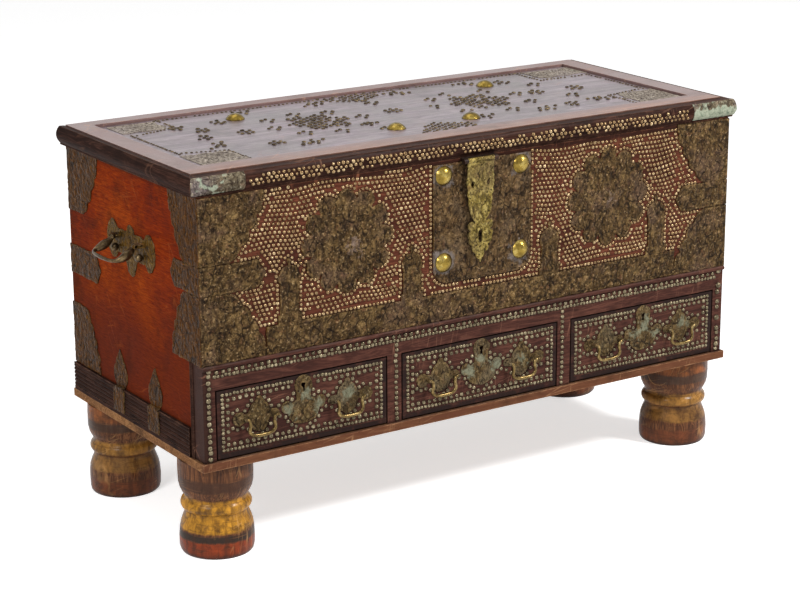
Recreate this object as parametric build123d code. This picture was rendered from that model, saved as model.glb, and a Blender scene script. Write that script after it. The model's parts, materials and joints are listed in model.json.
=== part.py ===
"""Brass-studded dowry chest: plank body on turned feet, hinged lid with hasp, and three drawers."""

import os

from build123d import *

# ---- Body boards (millimetres) ----
body_width = 1080.0
body_depth = 465.0
end_thickness = 20.0
panel_thickness = 22.0
front_panel_height = 275.0
floor_thickness = 16.0
partition_thickness = 16.0

# ---- Drawer tier ----
drawer_opening_height = 120.0
rail_height = 43.0
frame_depth = 42.0
stile_width = 22.0
muntin_width = 28.0
waist_height = 8.0
waist_projection = 5.0

# ---- Base board and feet ----
base_thickness = 13.5
base_overhang = 5.0
foot_height = 161.5
foot_radius = 62.0
foot_toe_height = 38.0
foot_neck_radius = 51.0
foot_ring_radius = 58.5
foot_ring_height = 79.0
foot_ring_thickness = 26.0
foot_drum_height = 118.0
foot_side_inset = 54.0
foot_front_inset = 65.0
foot_tenon_radius = 20.0
reed_moulding_height = 50.0
reed_moulding_thickness = 5.0
reed_plain_height = 20.0
reed_count = 3

# ---- Lid ----
lid_board_thickness = 28.7
border_thickness = 5.0
border_front_width = 45.0
border_back_width = 32.0
border_end_width = 38.0
border_groove = 1.5
lid_front_inset = 21.0
lid_back_outset = 6.0
lid_front_overhang = 5.0
lid_back_overhang = 11.0
lid_side_overhang = 14.0
moulding_top_step = 1.5
moulding_fillet_height = 3.0
moulding_round_inset = 6.0
cap_length = 98.0
cap_thickness = 1.2

# ---- Lid hinges ----
knuckle_radius = 4.5
pin_radius = 2.5
hinge_strap_width = 30.0
hinge_knuckle_length = 15.0
hinge_leaf_height = 55.0
hinge_leaf_thickness = 1.6
hinge_end_inset = 275.0
hinge_back_gap = 1.0
hinge_strap_length = 122.0
hinge_boss_setback = 104.0

# ---- Hasp ----
hasp_offset = -10.0
hasp_width = 52.0
hasp_thickness = 2.5
hasp_length = 177.0
hasp_neck_drop = 107.0
hasp_neck_width = 20.0
hasp_standoff = 8.0
hasp_eye_radius = 3.2
hasp_finial_radius = 8.2
hasp_slot_width = 8.0
hasp_slot_length = 23.0
hasp_knuckle_end = 8.0
hasp_boss_spacing = 155.0
hasp_boss_setback = 122.0
hasp_bracket_depth = 150.0

# ---- Brass sheet on the body ----
sheet = 1.5
band_height = 47.0
corner_reach = 118.0
corner_side_reach = 96.0
upper_corner_height = 110.5
middle_corner_height = 46.0
middle_corner_drop = 112.0
lower_corner_height = 114.0
corner_foot_reach = 45.0
back_corner_reach = 115.0
back_upper_height = 109.5
back_middle_height = 50.0
back_middle_rise = 215.0
back_lower_reach = 98.0
back_lower_height = 108.0
back_lower_rise = 52.0
leaf_lobes = 4
leaf_shoulder_step = 3.0
corner_top_gap = 1.5
plate_top_gap = 6.0
medallion_lobe_radius = 17.0
medallion_lobes = 12
medallion_gap = 1.0
medallion_inner_gap = 17.0
medallion_rise = 167.0
minaret_width = 44.0
minaret_outer_height = 108.0
minaret_inner_height = 93.0
minaret_outer_gap = 22.0
minaret_inner_gap = 20.0
spear_width = 48.0
spear_height = 110.0
spear_rise = 8.0
spear_spacing = 126.0
spear_setback = 6.0
lock_plate_width = 200.0
lock_plate_height = 205.0
lock_plate_corner = 30.0
lock_boss_spacing_x = 158.0
lock_boss_spacing_z = 149.0
lock_boss_edge = 19.0
boss_radius = 16.5
boss_height = 9.0
boss_collar = 1.5
shank_radius = 3.0
boss_shank_length = 16.0

# ---- Carrying handles on the ends ----
handle_rise = 321.0
handle_plate_width = 170.0
handle_plate_up = 24.0
handle_plate_down = 62.0
handle_post_spacing = 86.0
handle_post_radius = 5.0
handle_pivot_standoff = 13.0
handle_pin_radius = 3.0
handle_arm_radius = 3.5
handle_arm_drop = 20.0
handle_reach = 40.0
handle_grip_radius = 6.5
handle_ball_radius = 7.0

# ---- Drawers ----
drawer_count = 3
drawer_side_gap = 2.5
drawer_top_gap = 2.5
drawer_foot_gap = 3.0
drawer_front_thickness = 20.0
drawer_back_gap = 23.0
drawer_box_height = 96.0
drawer_box_wall = 12.0
drawer_bottom_thickness = 7.0
drawer_run_gap = 1.0
keyhole_width = 8.0
keyhole_height = 15.0
keyhole_rise = 97.0
escutcheon_width = 33.0
escutcheon_height = 83.0
escutcheon_shield_width = 60.0
escutcheon_shield_height = 45.0
escutcheon_wing = 10.5
escutcheon_wing_spacing = 64.0
lock_case_width = 56.0
lock_case_height = 40.0
lock_case_depth = 14.0

# ---- Drawer bails ----
pull_spacing = 168.0
pull_rise = 64.0
pull_post_spacing = 60.0
pull_post_radius = 3.6
pull_pivot_standoff = 10.0
pull_wing_radius = 7.0
pull_outer_lobe_radius = 11.5
pull_centre_width = 41.0
pull_centre_height = 54.0
pull_lobe_radius = 6.0
bail_pin_radius = 2.0
bail_wire_radius = 2.5
bail_drop = 28.0
bail_corner = 11.0

# ---- Clearances ----
bearing_gap = 0.05
shank_gap = 0.05
knuckle_gap = 0.4
lid_gap = 0.3
notch_gap = 0.3
rest_gap = 0.4
post_side_gap = 1.2

# ---- Derived levels and faces ----
tier_bottom = foot_height + base_thickness
rail_bottom = tier_bottom + drawer_opening_height
rail_top = rail_bottom + rail_height
body_top = rail_top + front_panel_height
lid_bottom = body_top + lid_gap
border_bottom = lid_bottom + lid_board_thickness
lid_top = border_bottom + border_thickness
moulding_top = lid_top - moulding_top_step

bail_reach = sheet + pull_pivot_standoff + max(bail_wire_radius, pull_post_radius)
hasp_reach = sheet + hasp_standoff + knuckle_radius
boss_reach = sheet + boss_collar + boss_height
front_reach = max(lid_front_overhang + cap_thickness, hasp_reach, bail_reach, boss_reach, base_overhang)
hinge_offset = knuckle_radius + bearing_gap + hinge_back_gap
back_reach = max(lid_back_overhang, hinge_offset + knuckle_radius, base_overhang)
body_shift = (front_reach - back_reach) / 2
body_front = body_shift - body_depth / 2
body_back = body_shift + body_depth / 2
half_width = body_width / 2
inner_half = half_width - end_thickness
frame_back = body_front + frame_depth

hinge_y = body_back + hinge_offset
hinge_z = lid_bottom - lid_gap - knuckle_radius
hasp_y = body_front - sheet - hasp_standoff
hasp_z = lid_bottom - lid_gap - knuckle_radius
strap_bottom = lid_bottom - hinge_leaf_thickness
notch_floor = strap_bottom - notch_gap
lid_front_edge = body_front + lid_front_inset
lid_back_edge = body_back + lid_back_outset
front_boss_y = lid_front_edge + hasp_boss_setback
back_boss_y = hinge_y - hinge_boss_setback

drawer_span = body_width - 2 * stile_width - (drawer_count - 1) * muntin_width
drawer_opening = drawer_span / drawer_count
drawer_pitch = drawer_opening + muntin_width
drawer_front_width = drawer_opening - 2 * drawer_side_gap
drawer_front_bottom = tier_bottom + drawer_foot_gap
drawer_front_top = rail_bottom - drawer_top_gap
drawer_box_bottom = tier_bottom + drawer_run_gap
drawer_box_front = body_front + drawer_front_thickness
drawer_box_back = body_back - panel_thickness - drawer_back_gap
drawer_box_width = drawer_pitch - max(partition_thickness, muntin_width) - 2 * drawer_side_gap
minaret_outer_x = half_width - corner_reach - minaret_outer_gap - minaret_width / 2
minaret_inner_x = lock_plate_width / 2 + minaret_inner_gap + minaret_width / 2
medallion_space = minaret_outer_x - minaret_inner_x - minaret_width
medallion_reach = (medallion_space - medallion_gap - medallion_inner_gap) / 2
medallion_radius = medallion_reach - medallion_lobe_radius
medallion_x = minaret_outer_x - minaret_width / 2 - medallion_gap - medallion_reach
keyhole_z = tier_bottom + keyhole_rise
pull_z = tier_bottom + pull_rise


def block(x0, x1, y0, y1, z0, z1):
    """A board between two corners."""
    size = Box(x1 - x0, y1 - y0, z1 - z0)
    return Pos((x0 + x1) / 2, (y0 + y1) / 2, (z0 + z1) / 2) * size


def along_x(radius, x0, x1, y, z):
    """A round bar lying along X."""
    return Pos((x0 + x1) / 2, y, z) * Rot(0, 90, 0) * Cylinder(radius, abs(x1 - x0))


def along_y(radius, y0, y1, x, z):
    """A round bar lying along Y."""
    return Pos(x, (y0 + y1) / 2, z) * Rot(90, 0, 0) * Cylinder(radius, abs(y1 - y0))


def front_plane(y):
    """Sketch plane facing the front: local x is +X and local y is +Z."""
    return Plane((0, y, 0), x_dir=(1, 0, 0), z_dir=(0, -1, 0))


def left_plane(x):
    """Sketch plane facing the left end: local x runs to the front and local y is +Z."""
    return Plane((x, 0, 0), x_dir=(0, -1, 0), z_dir=(-1, 0, 0))


def other_side(shape):
    """The mirror image at the other end of the chest."""
    return mirror(shape, about=Plane.YZ)


def pair(shape):
    """A left piece and its mirror image as two separate solids."""
    return Compound(children=[shape, other_side(shape)])


def group(shapes):
    """Separate pieces kept in one node."""
    return Compound(children=list(shapes))


def save(name, shape):
    """Write one sub-part."""
    shape.label = name
    export_step(shape, "parts/" + name + ".step")


def make_base_board():
    """Base board with a socket for each foot tenon."""
    board = block(
        -half_width - base_overhang, half_width + base_overhang,
        body_front - base_overhang, body_back + base_overhang,
        foot_height, tier_bottom)
    for x, y in foot_centres().values():
        board -= Pos(x, y, foot_height) * Cylinder(foot_tenon_radius + shank_gap, 4 * base_thickness)
    return board


def foot_centres():
    """Foot positions by name."""
    x = half_width - foot_side_inset
    front = body_front + foot_front_inset
    back = body_back - foot_front_inset
    return {
        "foot_front_left": (-x, front),
        "foot_front_right": (x, front),
        "foot_back_left": (-x, back),
        "foot_back_right": (x, back),
    }


def make_foot():
    """Turned foot: toe drum, neck, ring, neck and shoulder drum, with a tenon on top."""
    ring_low = foot_ring_height - foot_ring_thickness / 2
    ring_high = foot_ring_height + foot_ring_thickness / 2
    toe = 1.0
    outline = [
        Line((0, 0), (foot_radius - toe, 0)),
        Line((foot_radius - toe, 0), (foot_radius, toe)),
        Line((foot_radius, toe), (foot_radius, foot_toe_height)),
        Line((foot_radius, foot_toe_height), (foot_neck_radius, ring_low)),
        ThreePointArc(
            (foot_neck_radius, ring_low),
            (foot_ring_radius, foot_ring_height),
            (foot_neck_radius, ring_high)),
        Line((foot_neck_radius, ring_high), (foot_radius, foot_drum_height)),
        Line((foot_radius, foot_drum_height), (foot_radius, foot_height)),
        Line((foot_radius, foot_height), (0, foot_height)),
        Line((0, foot_height), (0, 0)),
    ]
    drum = revolve(Plane.XZ * make_face(outline), Axis.Z)
    tenon_length = base_thickness - rest_gap
    return drum + Pos(0, 0, foot_height + tenon_length / 2) * Cylinder(foot_tenon_radius, tenon_length)


def make_end_panel():
    """Left end panel, notched at the front foot for the corner stile."""
    panel = block(-half_width, -inner_half, body_front, body_back, tier_bottom, body_top)
    notch = block(
        -half_width, -inner_half, body_front, frame_back, tier_bottom, rail_top)
    return panel - notch


def make_front_panel():
    """Front plank, with a notch in its top edge for the hasp bracket and holes for the bosses."""
    panel = block(
        -inner_half, inner_half, body_front, body_front + panel_thickness, rail_top, body_top)
    half_notch = hasp_width / 2 + hasp_knuckle_end + 2 * knuckle_gap + notch_gap
    panel -= block(
        hasp_offset - half_notch, hasp_offset + half_notch,
        body_front, body_front + panel_thickness, notch_floor, body_top)
    for x, z in lock_boss_places():
        panel -= along_y(shank_radius + shank_gap, body_front, body_front + panel_thickness, x, z)
    return panel


def make_back_panel():
    """Back plank, with two notches in its top edge for the hinge straps."""
    panel = block(
        -inner_half, inner_half, body_back - panel_thickness, body_back, tier_bottom, body_top)
    half_notch = hinge_strap_width / 2 + notch_gap
    for x in hinge_places():
        panel -= block(
            x - half_notch, x + half_notch, body_back - panel_thickness, body_back,
            notch_floor, body_top)
    return panel


def hinge_places():
    """Hinge centres along the back."""
    return (hinge_end_inset - half_width, half_width - hinge_end_inset)


def make_waist_moulding():
    """Half-round strip along the foot of the brass-covered front."""
    low = rail_top - waist_height
    middle = rail_top - waist_height / 2
    nose = body_front - waist_projection
    shoulder = nose + waist_height / 2
    outline = [
        Line((body_front, low), (shoulder, low)),
        ThreePointArc((shoulder, low), (nose, middle), (shoulder, rail_top)),
        Line((shoulder, rail_top), (body_front, rail_top)),
        Line((body_front, rail_top), (body_front, low)),
    ]
    face = Plane((-half_width, 0, 0), x_dir=(0, 1, 0), z_dir=(1, 0, 0)) * make_face(outline)
    return extrude(face, body_width)


def make_stile():
    """Left corner stile beside the drawers."""
    return block(
        -half_width, -half_width + stile_width,
        body_front, frame_back, tier_bottom, rail_top)


def make_rail():
    """Rail above the drawers, between the stiles."""
    half = half_width - stile_width
    return block(-half, half, body_front, frame_back, rail_bottom, rail_top)


def muntin_centres():
    """Upright positions between the drawers."""
    return [(index + 0.5 - (drawer_count - 1) / 2) * drawer_pitch for index in range(drawer_count - 1)]


def make_muntin(x):
    """Upright between two drawers."""
    return block(
        x - muntin_width / 2, x + muntin_width / 2, body_front, frame_back, tier_bottom, rail_bottom)


def make_partition(x):
    """Board behind an upright that guides the drawers."""
    return block(
        x - partition_thickness / 2, x + partition_thickness / 2,
        frame_back, body_back - panel_thickness, tier_bottom, rail_bottom)


def make_chest_floor():
    """Floor of the chest, which is also the roof of the drawer tier."""
    return block(
        -inner_half, inner_half, frame_back, body_back - panel_thickness,
        rail_bottom, rail_bottom + floor_thickness)


def make_reed_moulding():
    """Reeded strip along the foot of the left end: a plain fillet with half-round reeds above it."""
    reed = (reed_moulding_height - reed_plain_height) / reed_count
    outer = -half_width - reed_moulding_thickness
    shoulder = -half_width - reed_moulding_thickness / 2
    front = frame_back
    back = body_back
    strip = block(outer, -half_width, front, back, tier_bottom, tier_bottom + reed_plain_height)
    for index in range(reed_count):
        low = tier_bottom + reed_plain_height + index * reed
        outline = [
            Line((-half_width, low), (shoulder, low)),
            ThreePointArc((shoulder, low), (outer, low + reed / 2), (shoulder, low + reed)),
            Line((shoulder, low + reed), (-half_width, low + reed)),
            Line((-half_width, low + reed), (-half_width, low)),
        ]
        strip += extrude(front_plane(back) * make_face(outline), back - front)
    return strip


def leaf_outline(reach, height, foot, flip):
    """Lobed leg of a corner plate, drawn from the corner at x = 0 and from y = 0 upwards."""
    shoulder = height * 0.86
    spread = reach - leaf_shoulder_step - foot
    edges = [Line((0, 0), (foot, 0))]
    x, y = foot, 0
    for index in range(leaf_lobes):
        share = (index + 1) / leaf_lobes
        next_x = foot + spread * share ** 0.6
        next_y = shoulder * share
        belly = ((x + next_x) / 2 + 0.2 * (next_y - y), (y + next_y) / 2 - 0.2 * (next_x - x))
        edges.append(ThreePointArc((x, y), belly, (next_x, next_y)))
        x, y = next_x, next_y
    edges += [
        Line((x, y), (reach, shoulder + leaf_shoulder_step)),
        Line((reach, shoulder + leaf_shoulder_step), (reach, height)),
        Line((reach, height), (0, height)),
        Line((0, height), (0, 0)),
    ]
    face = make_face(edges)
    if flip:
        face = Pos(0, height, 0) * mirror(face, about=Plane.XZ)
    return face


def tongue_outline(reach, height, foot, flip):
    """Straight band leg that ends in a pointed ogee tip."""
    neck = reach - height * 0.3
    return make_face([
        Line((0, 0), (neck, 0)),
        Line((neck, 0), (reach, height / 2)),
        Line((reach, height / 2), (neck, height)),
        Line((neck, height), (0, height)),
        Line((0, height), (0, 0)),
    ])


def wrap_plate(outline, height, bottom, flip):
    """Brass sheet bent around the front left corner, with one leg on each face."""
    front_leg = Plane((-half_width - sheet, body_front, bottom), x_dir=(1, 0, 0), z_dir=(0, -1, 0)) * outline(
        corner_reach + sheet, height, corner_foot_reach, flip)
    side_leg = Plane((-half_width, body_front, bottom), x_dir=(0, -1, 0), z_dir=(-1, 0, 0)) * mirror(
        outline(corner_side_reach, height, corner_foot_reach, flip), about=Plane.YZ)
    return extrude(front_leg, sheet) + extrude(side_leg, sheet)


def make_back_plates():
    """Three flat brass plates at the back edge of the left end."""
    top = body_top - corner_top_gap
    upper = leaf_outline(back_corner_reach, back_upper_height, corner_foot_reach, False)
    middle = tongue_outline(back_corner_reach, back_middle_height, corner_foot_reach, False)
    lower = leaf_outline(back_lower_reach, back_lower_height, corner_foot_reach, True)
    places = [
        (upper, top - back_upper_height),
        (middle, tier_bottom + back_middle_rise),
        (lower, tier_bottom + back_lower_rise),
    ]
    plates = []
    for face, bottom in places:
        plane = Plane((-half_width, body_back, bottom), x_dir=(0, -1, 0), z_dir=(-1, 0, 0))
        plates.append(extrude(plane * face, sheet))
    return plates


def make_bottom_band():
    """Plain brass band along the foot of the front panel, between the corner plates."""
    half = half_width - corner_reach
    return block(-half, half, body_front - sheet, body_front, rail_top, rail_top + band_height)


def make_medallion():
    """Scalloped roundel on the left of the front."""
    face = Circle(medallion_radius)
    for place in PolarLocations(medallion_radius, medallion_lobes):
        face += place * Circle(medallion_lobe_radius)
    plane = front_plane(body_front) * Pos(-medallion_x, rail_top + medallion_rise)
    return extrude(plane * face, sheet)


def make_minaret(x, height):
    """Domed tower plate standing on the bottom band."""
    dome = minaret_width * 0.46
    finial = minaret_width * 0.09
    dome_centre = height - 3 * finial - dome
    face = Pos(0, dome_centre / 2) * Rectangle(minaret_width * 0.8, dome_centre)
    face += Pos(0, dome_centre * 0.1) * Rectangle(minaret_width, dome_centre * 0.2)
    face += Pos(0, dome_centre) * Circle(dome)
    face += Pos(0, height - 2 * finial) * Rectangle(finial, 4 * finial)
    face += Pos(0, height - finial) * Circle(finial)
    return extrude(front_plane(body_front) * Pos(x, rail_top + band_height) * face, sheet)


def make_spear(setback):
    """Spear-headed plate low on the left end, bent over the reeded moulding."""
    face = Pos(0, spear_height * 0.4) * Rectangle(spear_width * 0.6, spear_height * 0.8)
    face += Pos(0, spear_height * 0.18) * Rectangle(spear_width * 0.8, spear_height * 0.36)
    face += Pos(0, spear_height * 0.58) * Circle(spear_width / 2)
    face += make_face(Polyline(
        (-spear_width * 0.36, spear_height * 0.76), (spear_width * 0.36, spear_height * 0.76),
        (0, spear_height), close=True))
    place = left_plane(-half_width) * Pos(-body_shift + spear_setback + setback, tier_bottom + spear_rise)
    outer = -half_width - reed_moulding_thickness - sheet
    step = tier_bottom + reed_moulding_height
    low = tier_bottom + spear_rise
    high = low + spear_height
    bend = block(outer, outer + sheet, body_front, body_back, low, step + sheet)
    bend += block(outer, -half_width, body_front, body_back, step, step + sheet)
    bend += block(-half_width - sheet, -half_width, body_front, body_back, step, high)
    return extrude(place * face, reed_moulding_thickness + sheet) & bend


def lock_plate_centre():
    """Height of the middle of the lock plate."""
    return body_top - plate_top_gap - lock_plate_height / 2


def lock_boss_places():
    """Centres of the four lock plate bosses."""
    top = body_top - plate_top_gap - lock_boss_edge
    half = lock_boss_spacing_x / 2
    return [(x, z) for z in (top, top - lock_boss_spacing_z) for x in (-half, half)]


def make_lock_plate():
    """Brass plate behind the hasp, rounded at its lower corners."""
    half = lock_plate_width / 2
    low = -lock_plate_height / 2
    high = lock_plate_height / 2
    corner = lock_plate_corner
    diagonal = corner * (1 - 0.5 ** 0.5)
    face = make_face([
        Line((-half + corner, low), (half - corner, low)),
        ThreePointArc((half - corner, low), (half - diagonal, low + diagonal), (half, low + corner)),
        Line((half, low + corner), (half, high)),
        Line((half, high), (-half, high)),
        Line((-half, high), (-half, low + corner)),
        ThreePointArc((-half, low + corner), (-half + diagonal, low + diagonal), (-half + corner, low)),
    ])
    plate = extrude(front_plane(body_front) * Pos(0, lock_plate_centre()) * face, sheet)
    for x, z in lock_boss_places():
        plate -= along_y(shank_radius + shank_gap, body_front - sheet, body_front, x, z)
    return plate


def make_boss():
    """Domed boss nail standing on z = 0, with its shank below."""
    dome_radius = (boss_radius ** 2 + boss_height ** 2) / (2 * boss_height)
    rise = 0.5 * boss_radius
    flank = boss_collar + boss_height - dome_radius + (dome_radius ** 2 - rise ** 2) ** 0.5
    outline = [
        Line((0, -boss_shank_length), (shank_radius, -boss_shank_length)),
        Line((shank_radius, -boss_shank_length), (shank_radius, 0)),
        Line((shank_radius, 0), (boss_radius, 0)),
        Line((boss_radius, 0), (boss_radius, boss_collar)),
        ThreePointArc((boss_radius, boss_collar), (rise, flank), (0, boss_collar + boss_height)),
        Line((0, boss_collar + boss_height), (0, -boss_shank_length)),
    ]
    return revolve(Plane.XZ * make_face(outline), Axis.Z)


def make_lock_bosses():
    """The four boss nails of the lock plate."""
    boss = make_boss()
    return [Pos(x, body_front - sheet, z) * Rot(90, 0, 0) * boss for x, z in lock_boss_places()]


def make_handle_plate():
    """Winged plate of the left carrying handle, with two pierced posts."""
    top = handle_plate_up
    bottom = -handle_plate_down
    wing = (handle_plate_width - handle_post_spacing) / 2
    wing_x = handle_plate_width / 2 - wing / 2
    face = Pos(0, (top + bottom) / 2) * Ellipse(handle_post_spacing * 0.24, (top - bottom) / 2)
    face += Pos(0, -handle_arm_drop / 2) * Rectangle(2 * wing_x, wing)
    for side in (-1, 1):
        face += Pos(side * wing_x, -handle_arm_drop / 2) * Ellipse(wing / 2, wing * 0.75)
    pivot = tier_bottom + handle_rise
    plate = extrude(left_plane(-half_width) * Pos(-body_shift, pivot) * face, sheet)
    outer = -half_width - sheet - handle_pivot_standoff
    for side in (-1, 1):
        y = body_shift + side * handle_post_spacing / 2
        post = Pos(0, y, pivot) * Rot(0, 90, 0) * Cylinder(handle_post_radius, handle_pivot_standoff + sheet)
        plate += Pos((outer - half_width) / 2, 0, 0) * post
        plate += Pos(outer, y, pivot) * Sphere(handle_post_radius)
        plate -= along_y(
            handle_pin_radius + bearing_gap,
            y - 2 * handle_post_radius, y + 2 * handle_post_radius, outer, pivot)
    return plate


def make_handle():
    """Left carrying handle: pins, dropped arms, a swelling grip and two balls that rest on the plate."""
    pivot_x = -half_width - sheet - handle_pivot_standoff
    pivot_z = tier_bottom + handle_rise
    arm_y = handle_post_spacing / 2 - handle_post_radius - handle_arm_radius - post_side_gap
    pin_y = handle_post_spacing / 2 + handle_post_radius
    ball_x = -half_width - sheet - handle_ball_radius - rest_gap
    ball_y = arm_y + handle_ball_radius
    grip_x = pivot_x - handle_reach
    grip_z = pivot_z - handle_arm_drop
    elbow = 0.4 * handle_arm_drop
    route = FilletPolyline(
        (pivot_x, -arm_y, pivot_z), (pivot_x, -arm_y, grip_z), (grip_x, -arm_y, grip_z),
        (grip_x, arm_y, grip_z), (pivot_x, arm_y, grip_z), (pivot_x, arm_y, pivot_z),
        radius=elbow)
    section = Plane(route @ 0, z_dir=route % 0) * Circle(handle_arm_radius)
    handle = sweep(section, route)
    half_grip = arm_y - elbow
    for side in (-1, 1):
        handle += Pos(pivot_x, side * arm_y, pivot_z) * Sphere(handle_arm_radius)
        handle += along_y(handle_pin_radius, side * arm_y, side * pin_y, pivot_x, pivot_z)
        handle += Pos(ball_x, side * ball_y, grip_z) * Sphere(handle_ball_radius)
        swell = Pos(grip_x, side * half_grip / 2, grip_z) * Rot(-90 * side, 0, 0)
        handle += swell * Cone(handle_grip_radius, handle_arm_radius, half_grip)
    return Pos(0, body_shift, 0) * handle


def make_fixed_leaf(x):
    """Body half of a lid hinge: a leaf on the back and two outer knuckles."""
    half_strap = hinge_strap_width / 2 + knuckle_gap
    outer = half_strap + hinge_knuckle_length
    leaf = block(
        x - outer, x + outer, body_back, body_back + hinge_leaf_thickness,
        hinge_z - hinge_leaf_height, hinge_z - knuckle_radius - knuckle_gap)
    for side in (-1, 1):
        inner_x = x + side * half_strap
        outer_x = x + side * outer
        knuckle = along_x(knuckle_radius, inner_x, outer_x, hinge_y, hinge_z)
        web = block(
            min(inner_x, outer_x), max(inner_x, outer_x),
            body_back, body_back + hinge_leaf_thickness, hinge_z - hinge_leaf_height, hinge_z)
        leaf += knuckle + web
        leaf -= along_x(pin_radius + bearing_gap, inner_x, outer_x, hinge_y, hinge_z)
    return leaf


def make_hinge_pin(x):
    """Pin of a lid hinge."""
    half = hinge_strap_width / 2 + knuckle_gap + hinge_knuckle_length
    return along_x(pin_radius, x - half, x + half, hinge_y, hinge_z)


def make_hinge_strap(x):
    """Lid half of a hinge: a strap under the lid board and the middle knuckle."""
    half = hinge_strap_width / 2
    strap = block(
        x - half, x + half, hinge_y - hinge_strap_length, hinge_y, strap_bottom, lid_bottom)
    strap += along_x(knuckle_radius, x - half, x + half, hinge_y, hinge_z)
    strap -= along_x(pin_radius + bearing_gap, x - half, x + half, hinge_y, hinge_z)
    bore = Cylinder(shank_radius + shank_gap, 4 * hinge_leaf_thickness)
    return strap - Pos(x, back_boss_y, lid_bottom) * bore


def lid_boss_places():
    """Boss centres on the lid: two over the hasp bracket and two over the hinge straps."""
    front = [(side * hasp_boss_spacing / 2, front_boss_y) for side in (-1, 1)]
    back = [(x, back_boss_y) for x in hinge_places()]
    return front + back


def make_lid_board():
    """Plank of the lid, bored for the boss shanks."""
    board = block(-half_width, half_width, lid_front_edge, lid_back_edge, lid_bottom, border_bottom)
    for x, y in lid_boss_places():
        board -= Pos(x, y, lid_bottom) * Cylinder(shank_radius + shank_gap, 4 * lid_board_thickness)
    return board


def make_border_strips():
    """Four flat strips that frame the top of the lid."""
    left = -half_width + border_groove
    front = lid_front_edge + border_groove
    back = lid_back_edge - border_groove
    inner_front = lid_front_edge + border_front_width
    inner_back = lid_back_edge - border_back_width
    end = block(left, left + border_end_width, inner_front, inner_back, border_bottom, lid_top)
    return [
        block(left, -left, front, inner_front, border_bottom, lid_top),
        block(left, -left, inner_back, back, border_bottom, lid_top),
        end,
        other_side(end),
    ]


def moulding_outline(depth):
    """Edge moulding section, drawn outwards from the lid board at x = 0."""
    nose = depth
    shoulder = depth - moulding_round_inset
    low = lid_bottom + moulding_fillet_height
    return make_face([
        Line((0, lid_bottom), (shoulder, lid_bottom)),
        Line((shoulder, lid_bottom), (shoulder, low)),
        ThreePointArc((shoulder, low), (nose, (low + moulding_top) / 2), (shoulder, moulding_top)),
        Line((shoulder, moulding_top), (0, moulding_top)),
        Line((0, moulding_top), (0, lid_bottom)),
    ])


def lid_corners(front, back, side):
    """Plan rectangle of the lid grown by an overhang at each edge."""
    return (
        (-half_width - side, front),
        (half_width + side, front),
        (half_width + side, back),
        (-half_width - side, back),
    )


def make_mouldings():
    """Front, back and left edge mouldings, mitred at the corners."""
    inner = lid_corners(lid_front_edge, lid_back_edge, 0)
    outer = lid_corners(
        body_front - lid_front_overhang, body_back + lid_back_overhang, lid_side_overhang)
    front_depth = lid_front_edge - body_front + lid_front_overhang
    back_depth = body_back + lid_back_overhang - lid_back_edge
    height = lid_top - lid_bottom
    left, right = outer[0][0], outer[1][0]
    front_section = Plane((left, lid_front_edge, 0), x_dir=(0, -1, 0), z_dir=(-1, 0, 0))
    back_section = Plane((right, lid_back_edge, 0), x_dir=(0, 1, 0), z_dir=(1, 0, 0))
    side_section = Plane((-half_width, outer[0][1], 0), x_dir=(-1, 0, 0), z_dir=(0, 1, 0))
    planes = {
        "front": (front_section, front_depth, 0),
        "back": (back_section, back_depth, 2),
        "left": (side_section, lid_side_overhang, 3),
    }
    mouldings = {}
    for name, (plane, depth, corner) in planes.items():
        after = (corner + 1) % 4
        length = right - left if name != "left" else outer[3][1] - outer[0][1]
        wedge = make_face(Polyline(outer[corner], outer[after], inner[after], inner[corner], close=True))
        wedge = Pos(0, 0, lid_bottom) * extrude(wedge, height)
        direction = -1 if name != "left" else 1
        mouldings[name] = extrude(plane * moulding_outline(depth), direction * length) & wedge
    return mouldings


def make_corner_cap(front_moulding):
    """Brass cap over the left front corner of the lid's edge moulding."""
    reach = lid_front_overhang + cap_thickness
    shell = block(
        -half_width - lid_side_overhang, -half_width - lid_side_overhang + cap_length,
        body_front - reach, body_front - lid_front_overhang + moulding_round_inset,
        lid_bottom + moulding_fillet_height, moulding_top)
    grown = Pos(0, -cap_thickness, 0) * front_moulding
    return (shell & grown) - front_moulding


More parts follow.
